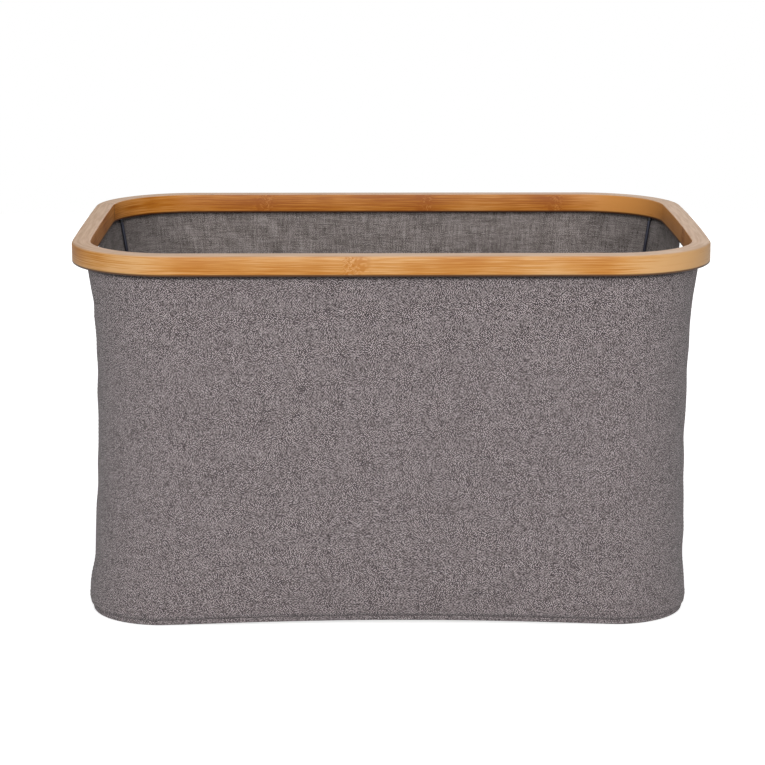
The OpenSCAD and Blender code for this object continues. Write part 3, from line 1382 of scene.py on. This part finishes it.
    def long_stations(self, start: int) -> list[Station]:
        """Lists the lines of a long panel, which takes in the corners at its ends.

        Args:
            start: The place where its first corner starts: 5 for the front and 1 for the back.

        Returns:
            The stations, anticlockwise.
        """
        first = self.plain_stations(start, start + 1, self.corner_steps)
        side = self.plain_stations(start + 1, start + 2, self.side_steps)
        last = self.plain_stations(start + 2, start + 3, self.corner_steps)
        return first + side[1:] + last[1:]

    def sheet(
        self, stations: Sequence[Station], inward: float, above: float = 0.0, closed: bool = False
    ) -> bmesh.types.BMesh:
        """Lays a sheet on the wall.

        Args:
            stations: The lines that it follows.
            inward: How far in from the wall's outer face it lies.
            above: How far its top edge runs up past the wall's.
            closed: Whether its last line is its first again.

        Returns:
            The mesh, facing out, with a UV map in metres.
        """
        mesh = bmesh.new()
        columns = len(stations) - 1
        bmesh.ops.create_grid(mesh, x_segments=columns, y_segments=self.rows, size=1.0)
        along = mesh.verts.layers.float.new("along")
        height = mesh.verts.layers.float.new("height")
        for vert in mesh.verts:
            station = stations[round((vert.co.x + 1) / 2 * columns)]
            row = (vert.co.y + 1) / 2
            crowded = row - row * (1 - row) * (0.5 - row)
            reach = above if station.drop == 0 else -station.drop
            z = FOOT + crowded * (WALL_HEIGHT + reach)
            vert.co = self.point(station, z, inward)
            vert[along] = self.top.distance(station.place)
            vert[height] = z
        write_uv(mesh, lambda vert: (vert[along], vert[height]))
        if closed:
            bmesh.ops.remove_doubles(mesh, verts=mesh.verts, dist=MERGE)
        turn_faces(mesh)
        return mesh


@dataclass
class Stitching:
    """Rows of stitches, gathered in one mesh. Pitch is the distance from stitch to stitch."""

    name: str
    body: Body = Body.BASE
    slot: Slot = Slot.CLOTH
    follows_wall: bool = False
    length: float = 0.0026
    width: float = 0.0005
    pitch: float = 0.0036
    mesh: bmesh.types.BMesh = field(default_factory=bmesh.new)
    batch: bmesh.types.BMesh = field(default_factory=bmesh.new)
    batch_faces: int = 1200

    def row(self, path: Sequence[tuple[Vector, Vector]]) -> None:
        """Sews a row along a path.

        Args:
            path: Points close together, each with the direction out of the cloth.
        """
        due = self.pitch / 2
        for (here, out), (there, _) in pairwise(path):
            step = there - here
            while due <= step.length:
                self._stitch(here + step.normalized() * due, step.normalized(), out)
                due += self.pitch
            due -= step.length

    def _stitch(self, spot: Vector, along: Vector, out: Vector) -> None:
        """Adds one stitch, half sunk in the cloth.

        Args:
            spot: Its middle.
            along: The direction of the row.
            out: The direction out of the cloth.
        """
        across = out.cross(along).normalized()
        turned = frame_of(spot, along, across)
        sized = Matrix.Diagonal((self.length / 2, self.width / 2, self.width / 2, 1.0))
        bmesh.ops.create_uvsphere(
            self.batch, u_segments=6, v_segments=4, radius=1.0, matrix=turned @ sized
        )
        if len(self.batch.faces) > self.batch_faces:
            self._pack()

    def _pack(self) -> None:
        """Moves the batch into the whole mesh, because adding to a small mesh is faster."""
        data = bpy.data.meshes.new("batch")
        self.batch.to_mesh(data)
        self.batch.clear()
        self.mesh.from_mesh(data)
        bpy.data.meshes.remove(data)

    def finish(self, material: bpy.types.Material) -> bpy.types.Object:
        """Makes the stitches' object and puts it on its body.

        Args:
            material: The thread's material.

        Returns:
            The object.
        """
        self._pack()
        self.batch.free()
        piece = Piece(self.name, self.body, self.slot, follows_wall=self.follows_wall)
        return piece.fit(piece.make(self.mesh, material, sharp=80))


@dataclass
class FabricWall:
    """The four cloth panels, the lining, their seams and the bound hand openings."""

    cloth: bpy.types.Material
    lining: bpy.types.Material
    tape: bpy.types.Material
    thread: bpy.types.Material
    form: WallForm = field(default_factory=WallForm)
    cloth_t: float = 0.0009
    lining_t: float = 0.0006
    into_groove: float = 0.0016
    lining_gap: float = 0.00002
    seam_half: float = 0.0042
    seam_t: float = 0.0004
    tape_proud: float = 0.0005
    tape_t: float = 0.00045
    tape_steps: int = 48
    turned: float = 0.001
    row_share: float = 0.62
    row_inset: float = 0.72
    row_steps: int = 120
    row_low: float = 0.004
    row_high: float = 0.002

    def build(self) -> None:
        """Builds all pieces of the wall."""
        form = self.form
        long_run = form.top.distance(8) - form.top.distance(5)
        end_run = form.top.distance(1)
        self._panel("front_panel", "front_cloth", form.long_stations(5), long_run)
        self._panel("back_panel", "back_cloth", form.long_stations(1), long_run)
        self._panel(
            "left_end_panel", "left_end_cloth", form.end_stations(End.LEFT), end_run, openings=1
        )
        self._panel(
            "right_end_panel", "right_end_cloth", form.end_stations(End.RIGHT), end_run, openings=1
        )
        self._lining()
        for name, end in (("left", End.LEFT), ("right", End.RIGHT)):
            self._tape(name, end)
        self._seams()

    def _cut_area(self, run: float, openings: int) -> float:
        """Gives the area of a flat cut that is as high as the wall.

        Args:
            run: Its length.
            openings: How many hand openings are cut in it.

        Returns:
            The area.
        """
        half = self.form.hand_half + self.form.tape
        depth = self.form.hand_depth + self.form.tape
        return run * WALL_HEIGHT - openings * math.pi / 2 * half * depth

    def _panel(
        self, name: str, node: str, stations: list[Station], run: float, openings: int = 0
    ) -> None:
        """Builds one cloth panel.

        Args:
            name: The piece's name.
            node: The CAD node that it replaces.
            stations: The lines that it follows.
            run: Its length along the wall.
            openings: How many hand openings are cut in it.
        """
        panel = Cloth(
            name, Body.BASE, Slot.CLOTH, (node,), follows_wall=True, thickness=self.cloth_t,
            rests_on=("bottom_seam",),
        )
        mesh = self.form.sheet(stations, 0.0, self.into_groove)
        panel.sew(mesh, self.cloth, (run, WALL_HEIGHT), self._cut_area(run, openings))

    def _lining(self) -> None:
        """Builds the lining, one loop inside all four panels."""
        form = self.form
        stations = (
            form.end_stations(End.RIGHT)[:-1] + form.long_stations(1)[:-1]
            + form.end_stations(End.LEFT)[:-1] + form.long_stations(5)
        )
        run = form.top.distance(8)
        lining = Cloth(
            "wall_lining", Body.BASE, Slot.LINING, ("side_lining",), follows_wall=True,
            thickness=self.lining_t, rests_on=("bottom_seam",),
        )
        mesh = form.sheet(stations, self.cloth_t + self.lining_gap, self.into_groove, closed=True)
        lining.sew(mesh, self.lining, (run, WALL_HEIGHT), self._cut_area(run, 2))

    def _opening_path(self, end: End, grow: float) -> list[tuple[Vector, Vector, Vector]]:
        """Follows a hand opening's edge.

        Args:
            end: The end that it is in.
            grow: How far outside the opening the path runs.

        Returns:
            Points, each with the directions away from the opening and out of the wall.
        """
        half = self.form.hand_half + grow
        depth = self.form.hand_depth + grow
        found = []
        for turn in half_turn(self.tape_steps):
            y = end.away * half * math.sin(turn)
            z = WALL_TOP - depth * math.cos(turn)
            away = Vector((0, end.away * math.sin(turn) * depth, -math.cos(turn) * half)).normalized()
            station = Station(self.form.top.at_y(y, end), held_y=y)
            spot = self.form.point(station, z, (self.cloth_t + self.lining_t) / 2)
            found.append((spot, away, Vector((end.away, 0, 0))))
        return found

    def _tape(self, name: str, end: End) -> None:
        """Binds a hand opening with folded tape and sews it.

        Args:
            name: The name of the end.
            end: The end that it is in.
        """
        width = self.form.tape
        thick = self.cloth_t + self.lining_t + 2 * self.tape_proud
        half = (thick - self.tape_t) / 2
        bend = half * 0.8
        corners = (
            (width / 2, -half, 0), (-width / 2, -half, bend), (-width / 2, half, bend),
            (width / 2, half, 0),
        )
        path = self._opening_path(end, width / 2)
        frames, travelled = [], 0.0
        for i, (spot, away, out) in enumerate(path):
            travelled += (spot - path[i - 1][0]).length if i else 0.0
            frames.append((frame_of(spot, away, out), travelled))
        tape = Cloth(
            f"{name}_handle_tape", Body.BASE, Slot.CLOTH, (f"{name}_handle_binding",),
            follows_wall=True, thickness=self.tape_t, centred=True, held=Hold.FOLDED,
            rests_on=(f"{name}_end_panel",),
        )
        mesh = sweep(Section(corners, is_open=True), frames)
        tape.sew(mesh, self.tape, (travelled, 2 * width + thick + 2 * self.turned))
        stitches = Stitching(
            f"{name}_handle_stitches", follows_wall=True, length=0.0023, pitch=0.0033
        )
        row = self._opening_path(end, width * self.row_inset)
        for face in (1, -1):
            stitches.row([(spot + out * face * thick / 2, out * face) for spot, _, out in row])
        stitches.finish(self.thread)

    def _seams(self) -> None:
        """Covers the four upright seams with folded strips, each sewn down twice."""
        stitches = Stitching("seam_stitches", follows_wall=True)
        on_end = self.seam_half / (2 * (self.form.top.half_y - self.form.top.radius))
        on_corner = self.seam_half / (self.form.top.radius * math.pi / 2)
        for name, place, before, after in (
            ("right_front", 0.0, on_corner, on_end), ("right_back", 1.0, on_end, on_corner),
            ("left_back", 4.0, on_corner, on_end), ("left_front", 5.0, on_end, on_corner),
        ):
            stations = [Station(place + s) for s in (-before, -before / 2, 0.0, after / 2, after)]
            seam = Cloth(
                f"{name}_seam", Body.BASE, Slot.CLOTH, follows_wall=True, thickness=self.seam_t,
                held=Hold.FOLDED, rests_on=("front_panel", "back_panel"),
            )
            cut = 2 * self.seam_half + 2 * self.turned
            seam.sew(self.form.sheet(stations, -self.seam_t), self.tape, (cut, WALL_HEIGHT))
            for shift in (-before * self.row_share, after * self.row_share):
                stitches.row(self._upright(Station(place + shift)))
        stitches.finish(self.thread)

    def _upright(self, station: Station) -> list[tuple[Vector, Vector]]:
        """Lists points up a seam for a row of stitches.

        Args:
            station: The line that the row follows.

        Returns:
            The points, each with the direction out of the wall.
        """
        low, high = FOOT + self.row_low, WALL_TOP - self.row_high
        found = []
        for i in range(self.row_steps + 1):
            z = low + (high - low) * i / self.row_steps
            out = self.form.outline(z).at(station.place)[1]
            found.append((self.form.point(station, z, -self.seam_t), out))
        return found


@dataclass
class BambooRim:
    """The two bent bamboo bands of the rim, with the hem and the staples between them.

    The bands' ends meet at outer_joint and inner_joint. A band has knuckles at values of X on
    the side that shows most of it, and at places on the other sides.
    """

    outer_finish: BambooMaker
    inner_finish: BambooMaker
    cloth: bpy.types.Material
    wire: bpy.types.Material
    outer: Outline = Outline(0.280, 0.206, 0.092)
    outer_t: float = 0.0095
    inner_t: float = 0.007
    edge: float = 0.001
    soft_edge: float = 0.0022
    groove_w: float = 0.0017
    groove_h: float = 0.012
    hem_t: float = 0.0011
    hem_room: float = 0.0005
    hem_above: float = 0.0002
    hem_slit: float = 0.0001
    hem_joint: float = 0.4
    hem_corner_steps: int = 16
    hem_side_steps: int = 8
    outer_joint: float = 1.2
    inner_joint: float = 3.933
    front_knuckles: tuple[float, ...] = (-0.0345,)
    back_knuckles: tuple[float, ...] = (-0.119, 0.039, 0.167)
    outer_places: tuple[float, ...] = (0.55, 2.30, 2.85, 4.60)
    inner_places: tuple[float, ...] = (5.4, 6.25, 6.8, 0.3)
    knuckle_widths: tuple[float, ...] = (0.009, 0.007, 0.008, 0.009, 0.010, 0.009, 0.011)
    corner_steps: int = 28
    side_steps: int = 12
    bow_half: float = 0.14
    left_bow: float = 0.0008
    right_bow: float = 0.0022
    bow_from: float = 0.20
    bow_over: float = 0.05
    corner_pull: float = 0.0014
    corner_from: float = 0.09
    corner_over: float = 0.06

    def build(self) -> None:
        """Builds the bands and the hem and dresses the staples."""
        seam = self.outer.inset(self.outer_t)
        low, high = RIM_UNDERSIDE, RIM_TOP
        groove_top = self.groove_h + low
        outer_section = (
            (0, low, self.edge), (0, high, self.soft_edge),
            (self.outer_t, high, 0), (self.outer_t, low, 0),
        )
        inner_section = (
            (self.inner_t, low, self.edge), (self.inner_t, high, self.edge), (0, high, 0),
            (0, groove_top, 0), (self.groove_w, groove_top, 0), (self.groove_w, low, 0),
        )
        outer_marks = [self.outer.at_x(x, front=True) for x in self.front_knuckles]
        inner_marks = [seam.at_x(x, front=False) for x in self.back_knuckles]
        outer_marks += self.outer_places
        inner_marks += self.inner_places
        self._band("outer", outer_section, self.outer, self.outer_joint, outer_marks, self.outer_finish)
        self._band("inner", inner_section, seam, self.inner_joint, inner_marks, self.inner_finish)
        self._hem(seam)
        staples = bmesh.new()
        staples.from_mesh(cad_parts["hem_staples"].data)
        piece = Piece("staples", Body.RIM, Slot.WIRE, ("hem_staples",))
        piece.fit(piece.make(self._bowed(staples), self.wire))

    def _bowed(self, mesh: bmesh.types.BMesh) -> bmesh.types.BMesh:
        """Bows the rim's ends out a little and draws its left front corner in.

        Args:
            mesh: A band, the hem or the staples.

        Returns:
            The same mesh.
        """
        for vert in mesh.verts:
            x, y, _ = vert.co
            bow = self.left_bow if x < 0 else self.right_bow
            bow *= max(0.0, 1 - (y / self.bow_half) ** 2)
            if x < 0:
                bow -= self.corner_pull * smooth((-y - self.corner_from) / self.corner_over)
            share = smooth((abs(x) - self.bow_from) / self.bow_over)
            vert.co.x += math.copysign(1.0, x) * bow * share
        return mesh

    def _band(
        self, name: str, corners: tuple[Corner, ...], outline: Outline, joint: float,
        marks: Sequence[float], finish: BambooMaker,
    ) -> None:
        """Bends one band round the rim.

        Args:
            name: Which band it is.
            corners: The corners of its section, in from the outline.
            outline: The outline that it follows.
            joint: The place where its two ends meet.
            marks: The places of its knuckles.
            finish: Gives its finish from its run and its knuckles.
        """
        frames = outline.frames(joint, self.corner_steps, self.side_steps)
        mesh = self._bowed(sweep(Section(corners), frames))
        tilt = mesh.faces.layers.float.new("tilt")
        for face in mesh.faces:
            face[tilt] = face.normal.z
        run, begin = outline.distance(8), outline.distance(joint)
        knuckles = tuple(
            Knuckle((outline.distance(place) - begin) % run, width)
            for place, width in zip(marks, self.knuckle_widths)
        )
        piece = Piece(f"{name}_bamboo_band", Body.RIM, Slot.BAMBOO, (f"rim_{name}_band",))
        piece.fit(piece.make(mesh, finish(run, knuckles).material(), sharp=50))

    def _hem(self, seam: Outline) -> None:
        """Folds the hem into the groove between the bands.

        Args:
            seam: The outline where the bands meet.
        """
        low = RIM_UNDERSIDE + self.hem_above
        high = RIM_UNDERSIDE + self.groove_h - self.hem_room
        layer = (self.hem_t - self.hem_slit) / 2
        near, far = (self.hem_slit + layer) / 2, self.hem_t - layer / 2
        bend = (far - near) * 0.48
        corners = ((near, low, 0), (near, high, bend), (far, high, bend), (far, low, 0))
        frames = seam.frames(self.hem_joint, self.hem_corner_steps, self.hem_side_steps)
        mesh = self._bowed(sweep(Section(corners, is_open=True), frames))
        hem = Cloth(
            "folded_hem", Body.RIM, Slot.CLOTH, ("top_hem",), thickness=layer, centred=True,
            held=Hold.FOLDED, rests_on=("outer_bamboo_band",),
        )
        hem.sew(mesh, self.cloth, (seam.distance(8), 2 * (high - low)))


def dress(node: bpy.types.Object, material: bpy.types.Material) -> None:
    """Gives a CAD node that stays its material and slot.

    Args:
        node: The node.
        material: Its material.
    """
    if not node.material_slots:
        node.data.materials.append(material)
    for holder in node.material_slots:
        holder.material = material
    log.info("%s: dressed in %s", node.name, material.name)


@dataclass
class StiffBase:
    """The stiff fabric base: outer cloth, board, lining and the bound seam round them."""

    cloth: bpy.types.Material
    lining: bpy.types.Material
    board: bpy.types.Material
    thread: bpy.types.Material
    form: WallForm = field(default_factory=WallForm)
    plate: Outline = Outline(0.260, 0.187, 0.062)
    cloth_t: float = 0.0012
    board_t: float = 0.0030
    lining_t: float = 0.0006
    grid_steps: int = 48
    welt_joint: float = 2.5
    corner_steps: int = 18
    side_steps: int = 24
    row_steps: int = 400
    welt_w: float = 0.0040
    welt_low: float = 0.0003
    welt_above: float = 0.0004
    welt_stitch: float = 0.0026
    tape_t: float = 0.0005

    def build(self) -> None:
        """Builds the layers of the base and the seam round them."""
        flat = (2 * self.plate.half_x, 2 * self.plate.half_y)
        area = flat[0] * flat[1] - (4 - math.pi) * self.plate.radius**2
        under = Cloth(
            "base_cloth", Body.BASE, Slot.CLOTH, ("bottom_cloth",), thickness=self.cloth_t,
            rests_on=("base_plate",),
        )
        under.sew(self._layer(self.cloth_t), self.cloth, flat, area)
        plate = Piece("base_plate", Body.BASE, Slot.BOARD, ("base_board",))
        board = plate.make(self._layer(self.cloth_t + self.board_t), self.board)
        thicken(board, self.board_t)
        plate.fit(board)
        laid = Cloth(
            "floor_cloth", Body.BASE, Slot.LINING, ("floor_lining",), thickness=self.lining_t,
            held=Hold.LAID, rests_on=("base_plate",),
        )
        laid.sew(self._layer(FOOT), self.lining, flat, area)
        self._welt()

    def _layer(self, top: float) -> bmesh.types.BMesh:
        """Draws the upper face of one layer of the base.

        Args:
            top: Its height.

        Returns:
            The mesh, facing up, with a UV map in metres.
        """
        mesh = bmesh.new()
        steps = self.grid_steps
        bmesh.ops.create_grid(mesh, x_segments=steps, y_segments=steps, size=1.0)
        for vert in mesh.verts:
            spot = self._spread(vert.co.x, vert.co.y)
            spot.z = top
            vert.co = self.form.settled(spot, 0.0)
        write_uv(mesh, lambda vert: (vert.co.x, vert.co.y))
        bmesh.ops.recalc_face_normals(mesh, faces=mesh.faces)
        turn_faces(mesh, UP)
        return mesh

    def _spread(self, a: float, b: float) -> Vector:
        """Spreads a point of the square from -1 to 1 over the rounded plate.

        Args:
            a: Its X on the square.
            b: Its Y on the square.

        Returns:
            Its spot on the plate.
        """
        reach = max(abs(a), abs(b))
        if reach < MERGE:
            return Vector((0, 0, 0))
        a, b = a / reach, b / reach
        edge = 1 - MERGE
        if a > edge:
            place = 0.5 + b
        elif b > edge:
            place = 2.5 - a
        elif a < -edge:
            place = 4.5 - b
        else:
            place = 6.5 + a
        return self.plate.at(place)[0] * reach

    def _welt(self) -> None:
        """Runs the bound seam round the base and sews it."""
        outline = self.plate.inset(-self.welt_w)
        soft = self.welt_w * 0.38
        half = self.tape_t / 2
        low, high = self.welt_low + half, FOOT + self.welt_above
        corners = (
            (self.welt_w, low, 0), (half, low, soft), (half, high, soft * 0.7), (self.welt_w, high, 0)
        )
        frames = outline.frames(self.welt_joint, self.corner_steps, self.side_steps)
        mesh = sweep(Section(corners, is_open=True), frames)
        for vert in mesh.verts:
            vert.co = self.form.settled(vert.co, 0.0)
        welt = Cloth(
            "bottom_seam", Body.BASE, Slot.CLOTH, ("bottom_welt",), thickness=self.tape_t,
            centred=True, held=Hold.FOLDED, rests_on=("base_plate",),
        )
        welt.sew(mesh, self.cloth, (outline.distance(8), 2 * self.welt_w + FOOT))
        stitches = Stitching("bottom_seam_stitches", pitch=0.0038)
        path = []
        for i in range(self.row_steps + 1):
            spot, out = outline.at(8 * i / self.row_steps)
            spot.z = self.welt_low + self.welt_stitch
            path.append((self.form.settled(spot, 0.0), out))
        stitches.row(path)
        stitches.finish(self.thread)


@dataclass
class FoldingFrames:
    """The two hinged rod frames, their collars and the sleeves that hold them down."""

    steel: bpy.types.Material
    plastic: bpy.types.Material
    lining: bpy.types.Material
    thread: bpy.types.Material
    loop_r: float = 0.0025
    loop_start: int = 228
    loop_step: int = 12
    flange_spots: tuple[float, ...] = (0.013, 0.009, 0.0055, 0.0036)
    row_spots: tuple[float, ...] = (-0.0105, -0.0060, 0.0060, 0.0105)
    row_end: float = 0.002
    sleeve_half: float = 0.100
    sleeve_steps: int = 50
    waver: float = 0.0003
    waver_turn: float = 240
    waver_shift: float = 50
    cloth_t: float = 0.0008

    def build(self) -> None:
        """Dresses the rods and collars and sews the sleeves."""
        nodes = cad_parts
        for side in ("left", "right"):
            dress(nodes[f"{side}_support_rod"], self.steel)
            dress(nodes[f"{side}_rod_collars"], self.plastic)
        stitches = Stitching("sleeve_stitches", slot=Slot.LINING)
        for side in ("left", "right"):
            low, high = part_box(f"{side}_hinge_sleeve")
            self._sleeve(side, (low.x + high.x) / 2, stitches)
        stitches.finish(self.thread)

    def _profile(self) -> list[Vector]:
        """Draws the sleeve's line, from one flange over the rod to the other.

        Returns:
            Its points, with X from the bar.
        """
        low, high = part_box("left_hinge_sleeve")
        floor = low.z + self.cloth_t / 2
        middle = high.z - self.loop_r - self.cloth_t / 2
        degrees = range(self.loop_start, 180 - self.loop_start - 1, -self.loop_step)
        turns = [math.radians(a) for a in degrees]
        over = [Vector((self.loop_r * math.cos(a), 0, middle + self.loop_r * math.sin(a))) for a in turns]
        left = [Vector((-x, 0, floor)) for x in self.flange_spots]
        right = [Vector((-spot.x, 0, spot.z)) for spot in reversed(left)]
        return left + over + right

    def _sleeve(self, side: str, x: float, stitches: Stitching) -> None:
        """Sews one sleeve over a frame's bar.

        Args:
            side: The frame that it holds.
            x: The X of the bar.
            stitches: The stitching to add its rows to.
        """
        profile = self._profile()
        mesh = bmesh.new()
        run = mesh.verts.layers.float.new("run")
        points, travelled = [], 0.0
        for i, spot in enumerate(profile):
            travelled += (spot - profile[i - 1]).length if i else 0.0
            vert = mesh.verts.new(spot + Vector((x, -self.sleeve_half, 0)))
            vert[run] = travelled
            points.append(vert)
        line = [mesh.edges.new(pair) for pair in pairwise(points)]
        onward = Vector((0, 2 * self.sleeve_half / self.sleeve_steps, 0))
        for _ in range(self.sleeve_steps):
            points, line = extruded(mesh, line)
            bmesh.ops.translate(mesh, verts=points, vec=onward)
        for vert in mesh.verts:
            share = min(1.0, abs(vert.co.x - x) / self.flange_spots[0])
            turn = vert.co.y * self.waver_turn + x * self.waver_shift
            vert.co.x += self.waver * math.sin(turn) * share
        write_uv(mesh, lambda vert: (vert[run], vert.co.y))
        turn_faces(mesh, UP)
        sleeve = Cloth(
            f"{side}_sleeve", Body.BASE, Slot.LINING, (f"{side}_hinge_sleeve",),
            thickness=self.cloth_t, centred=True, held=Hold.FOLDED, rests_on=("floor_cloth",),
        )
        sleeve.sew(mesh, self.lining, (travelled, 2 * self.sleeve_half), sharp=70)
        top = profile[0].z + self.cloth_t / 2
        reach = self.sleeve_half - self.row_end
        for shift in self.row_spots:
            stitches.row([(Vector((x + shift, y, top)), UP) for y in (-reach, reach)])


# ---- studio ----


@dataclass(frozen=True)
class Lamp:
    """A square soft lamp: where it hangs, the length of its sides and its power in watts."""

    name: str
    spot: tuple[float, float, float]
    size: float
    power: float

    def hang(self, aim: Vector) -> None:
        """Hangs the lamp.

        Args:
            aim: What it points at.
        """
        data = bpy.data.lights.new(self.name, "AREA")
        data.size = self.size
        data.energy = self.power
        made = add_object(self.name, data)
        made.location = self.spot
        made.rotation_euler = (aim - made.location).to_track_quat("-Z", "Y").to_euler()


@dataclass
class Studio:
    """The camera, the pale floor and the soft lights.

    Ambient is the white surround's light on the basket, and mirrored its light in reflections.
    """

    lens: float = 127.2
    sensor: float = 36.0
    eye: tuple[float, float, float] = (-0.0282, -2.464, 0.6798)
    pitch: float = 0.2009
    yaw: float = -0.0089
    far: float = 50.0
    ambient: float = 0.24
    mirrored: float = 0.44
    floor_half: float = 2.4
    floor_gap: float = 0.0002
    floor_paint: Colour = (0.8, 0.8, 0.8, 1.0)
    floor_glow: float = 0.72
    floor_mirrored: float = 0.4
    aim: tuple[float, float, float] = (0.0, 0.0, 0.18)
    lamps: tuple[Lamp, ...] = (
        Lamp("key", (-0.1, -3.4, 1.5), 2.0, 89.0),
        Lamp("top", (0.0, -0.6, 3.1), 2.4, 17.0),
        Lamp("back", (0.5, 3.3, 1.9), 2.0, 34.0),
    )

    def build(self) -> None:
        """Sets up the camera, the floor, the world and the lamps."""
        self._camera()
        self._floor()
        self._world()
        for lamp in self.lamps:
            lamp.hang(Vector(self.aim))
        bpy.context.scene.view_settings.view_transform = "Standard"

    def _camera(self) -> None:
        """Places the camera."""
        data = bpy.data.cameras.new("camera")
        data.lens = self.lens
        data.sensor_width = self.sensor
        data.clip_end = self.far
        made = add_object("camera", data)
        made.location = self.eye
        made.rotation_euler = (math.pi / 2 - self.pitch, 0.0, self.yaw)
        bpy.context.scene.camera = made

    def _floor(self) -> None:
        """Lays the floor, white to the eye but for the basket's shadow."""
        mesh = bmesh.new()
        bmesh.ops.create_grid(mesh, x_segments=1, y_segments=1, size=self.floor_half)
        bmesh.ops.translate(mesh, verts=mesh.verts, vec=(0, 0, -self.floor_gap))
        data = bpy.data.meshes.new("floor")
        mesh.to_mesh(data)
        mesh.free()
        g = Graph("floor_paint")
        path = g.node("ShaderNodeLightPath").outputs
        seen = Signal(g, path["Is Camera Ray"]) + Signal(g, path["Is Glossy Ray"]) * self.floor_mirrored
        matt = g.node("ShaderNodeBsdfDiffuse", inputs={"Color": self.floor_paint})
        glow = g.node("ShaderNodeEmission", inputs={"Strength": seen * self.floor_glow})
        both = g.node("ShaderNodeAddShader", inputs={0: matt.outputs[0], 1: glow.outputs[0]})
        g.node("ShaderNodeOutputMaterial", inputs={"Surface": both.outputs[0]})
        data.materials.append(g.owner)
        add_object("floor", data)

    def _world(self) -> None:
        """Gives a white surround, softer where it only lights."""
        g = Graph("surround", of_world=True)
        path = g.node("ShaderNodeLightPath").outputs
        lit = Signal(g, path["Is Glossy Ray"]) * (self.mirrored - self.ambient) + self.ambient
        level = g.maths("MAXIMUM", Signal(g, path["Is Camera Ray"]), lit)
        back = g.node("ShaderNodeBackground", inputs={"Color": WHITE, "Strength": level})
        g.node("ShaderNodeOutputWorld", inputs={"Surface": back.outputs[0]})
        bpy.context.scene.world = g.owner


# ---- the basket ----


def outer_bamboo(run: float, knuckles: tuple[Knuckle, ...]) -> BambooFinish:
    """Gives the outer band's finish, from its run and its knuckles."""
    return BambooFinish(
        "bamboo_outer", paint(215, 167, 112), paint(199, 138, 65), paint(181, 112, 30), run, knuckles
    )


def inner_bamboo(run: float, knuckles: tuple[Knuckle, ...]) -> BambooFinish:
    """Gives the inner band's finish, from its run and its knuckles."""
    return BambooFinish(
        "bamboo_inner", paint(222, 152, 79), paint(199, 123, 37), paint(171, 92, 14), run, knuckles
    )


def main() -> None:
    """Builds the basket and its studio."""
    logging.basicConfig(level=logging.INFO, format="%(message)s")
    cloth = ClothFinish(
        "heather_cloth", paint(25, 18, 19), paint(111, 101, 102), paint(188, 177, 178), spread=0.5
    ).material()
    lining = ClothFinish(
        "lining_cloth", paint(88, 80, 77), paint(136, 127, 124), paint(178, 169, 166), pitch=0.0009,
        slub=0.06, yarn=1.3, fleck=0.40, cloud=0.4, corner_shade=0.28, tuck_shade=0.35,
    ).material()
    tape = ClothFinish(
        "tape_cloth", paint(88, 80, 81), paint(122, 114, 114), paint(152, 144, 144), pitch=0.0006, fleck=0.3
    ).material()
    thread = ThreadFinish("sewing_thread", paint(132, 124, 124)).material()
    steel = MetalFinish("polished_steel", paint(88, 92, 108), 0.30).material()
    wire = MetalFinish("staple_steel", paint(176, 178, 182), 0.34).material()
    plastic = PlasticFinish("collar_plastic", paint(24, 24, 28)).material()
    board = BoardFinish("pressed_board", paint(150, 124, 92)).material()
    Studio().build()
    BambooRim(outer_bamboo, inner_bamboo, tape, wire).build()
    FabricWall(cloth, lining, tape, thread).build()
    StiffBase(cloth, lining, board, thread).build()
    FoldingFrames(steel, plastic, lining, thread).build()


if __name__ == "__main__":
    main()
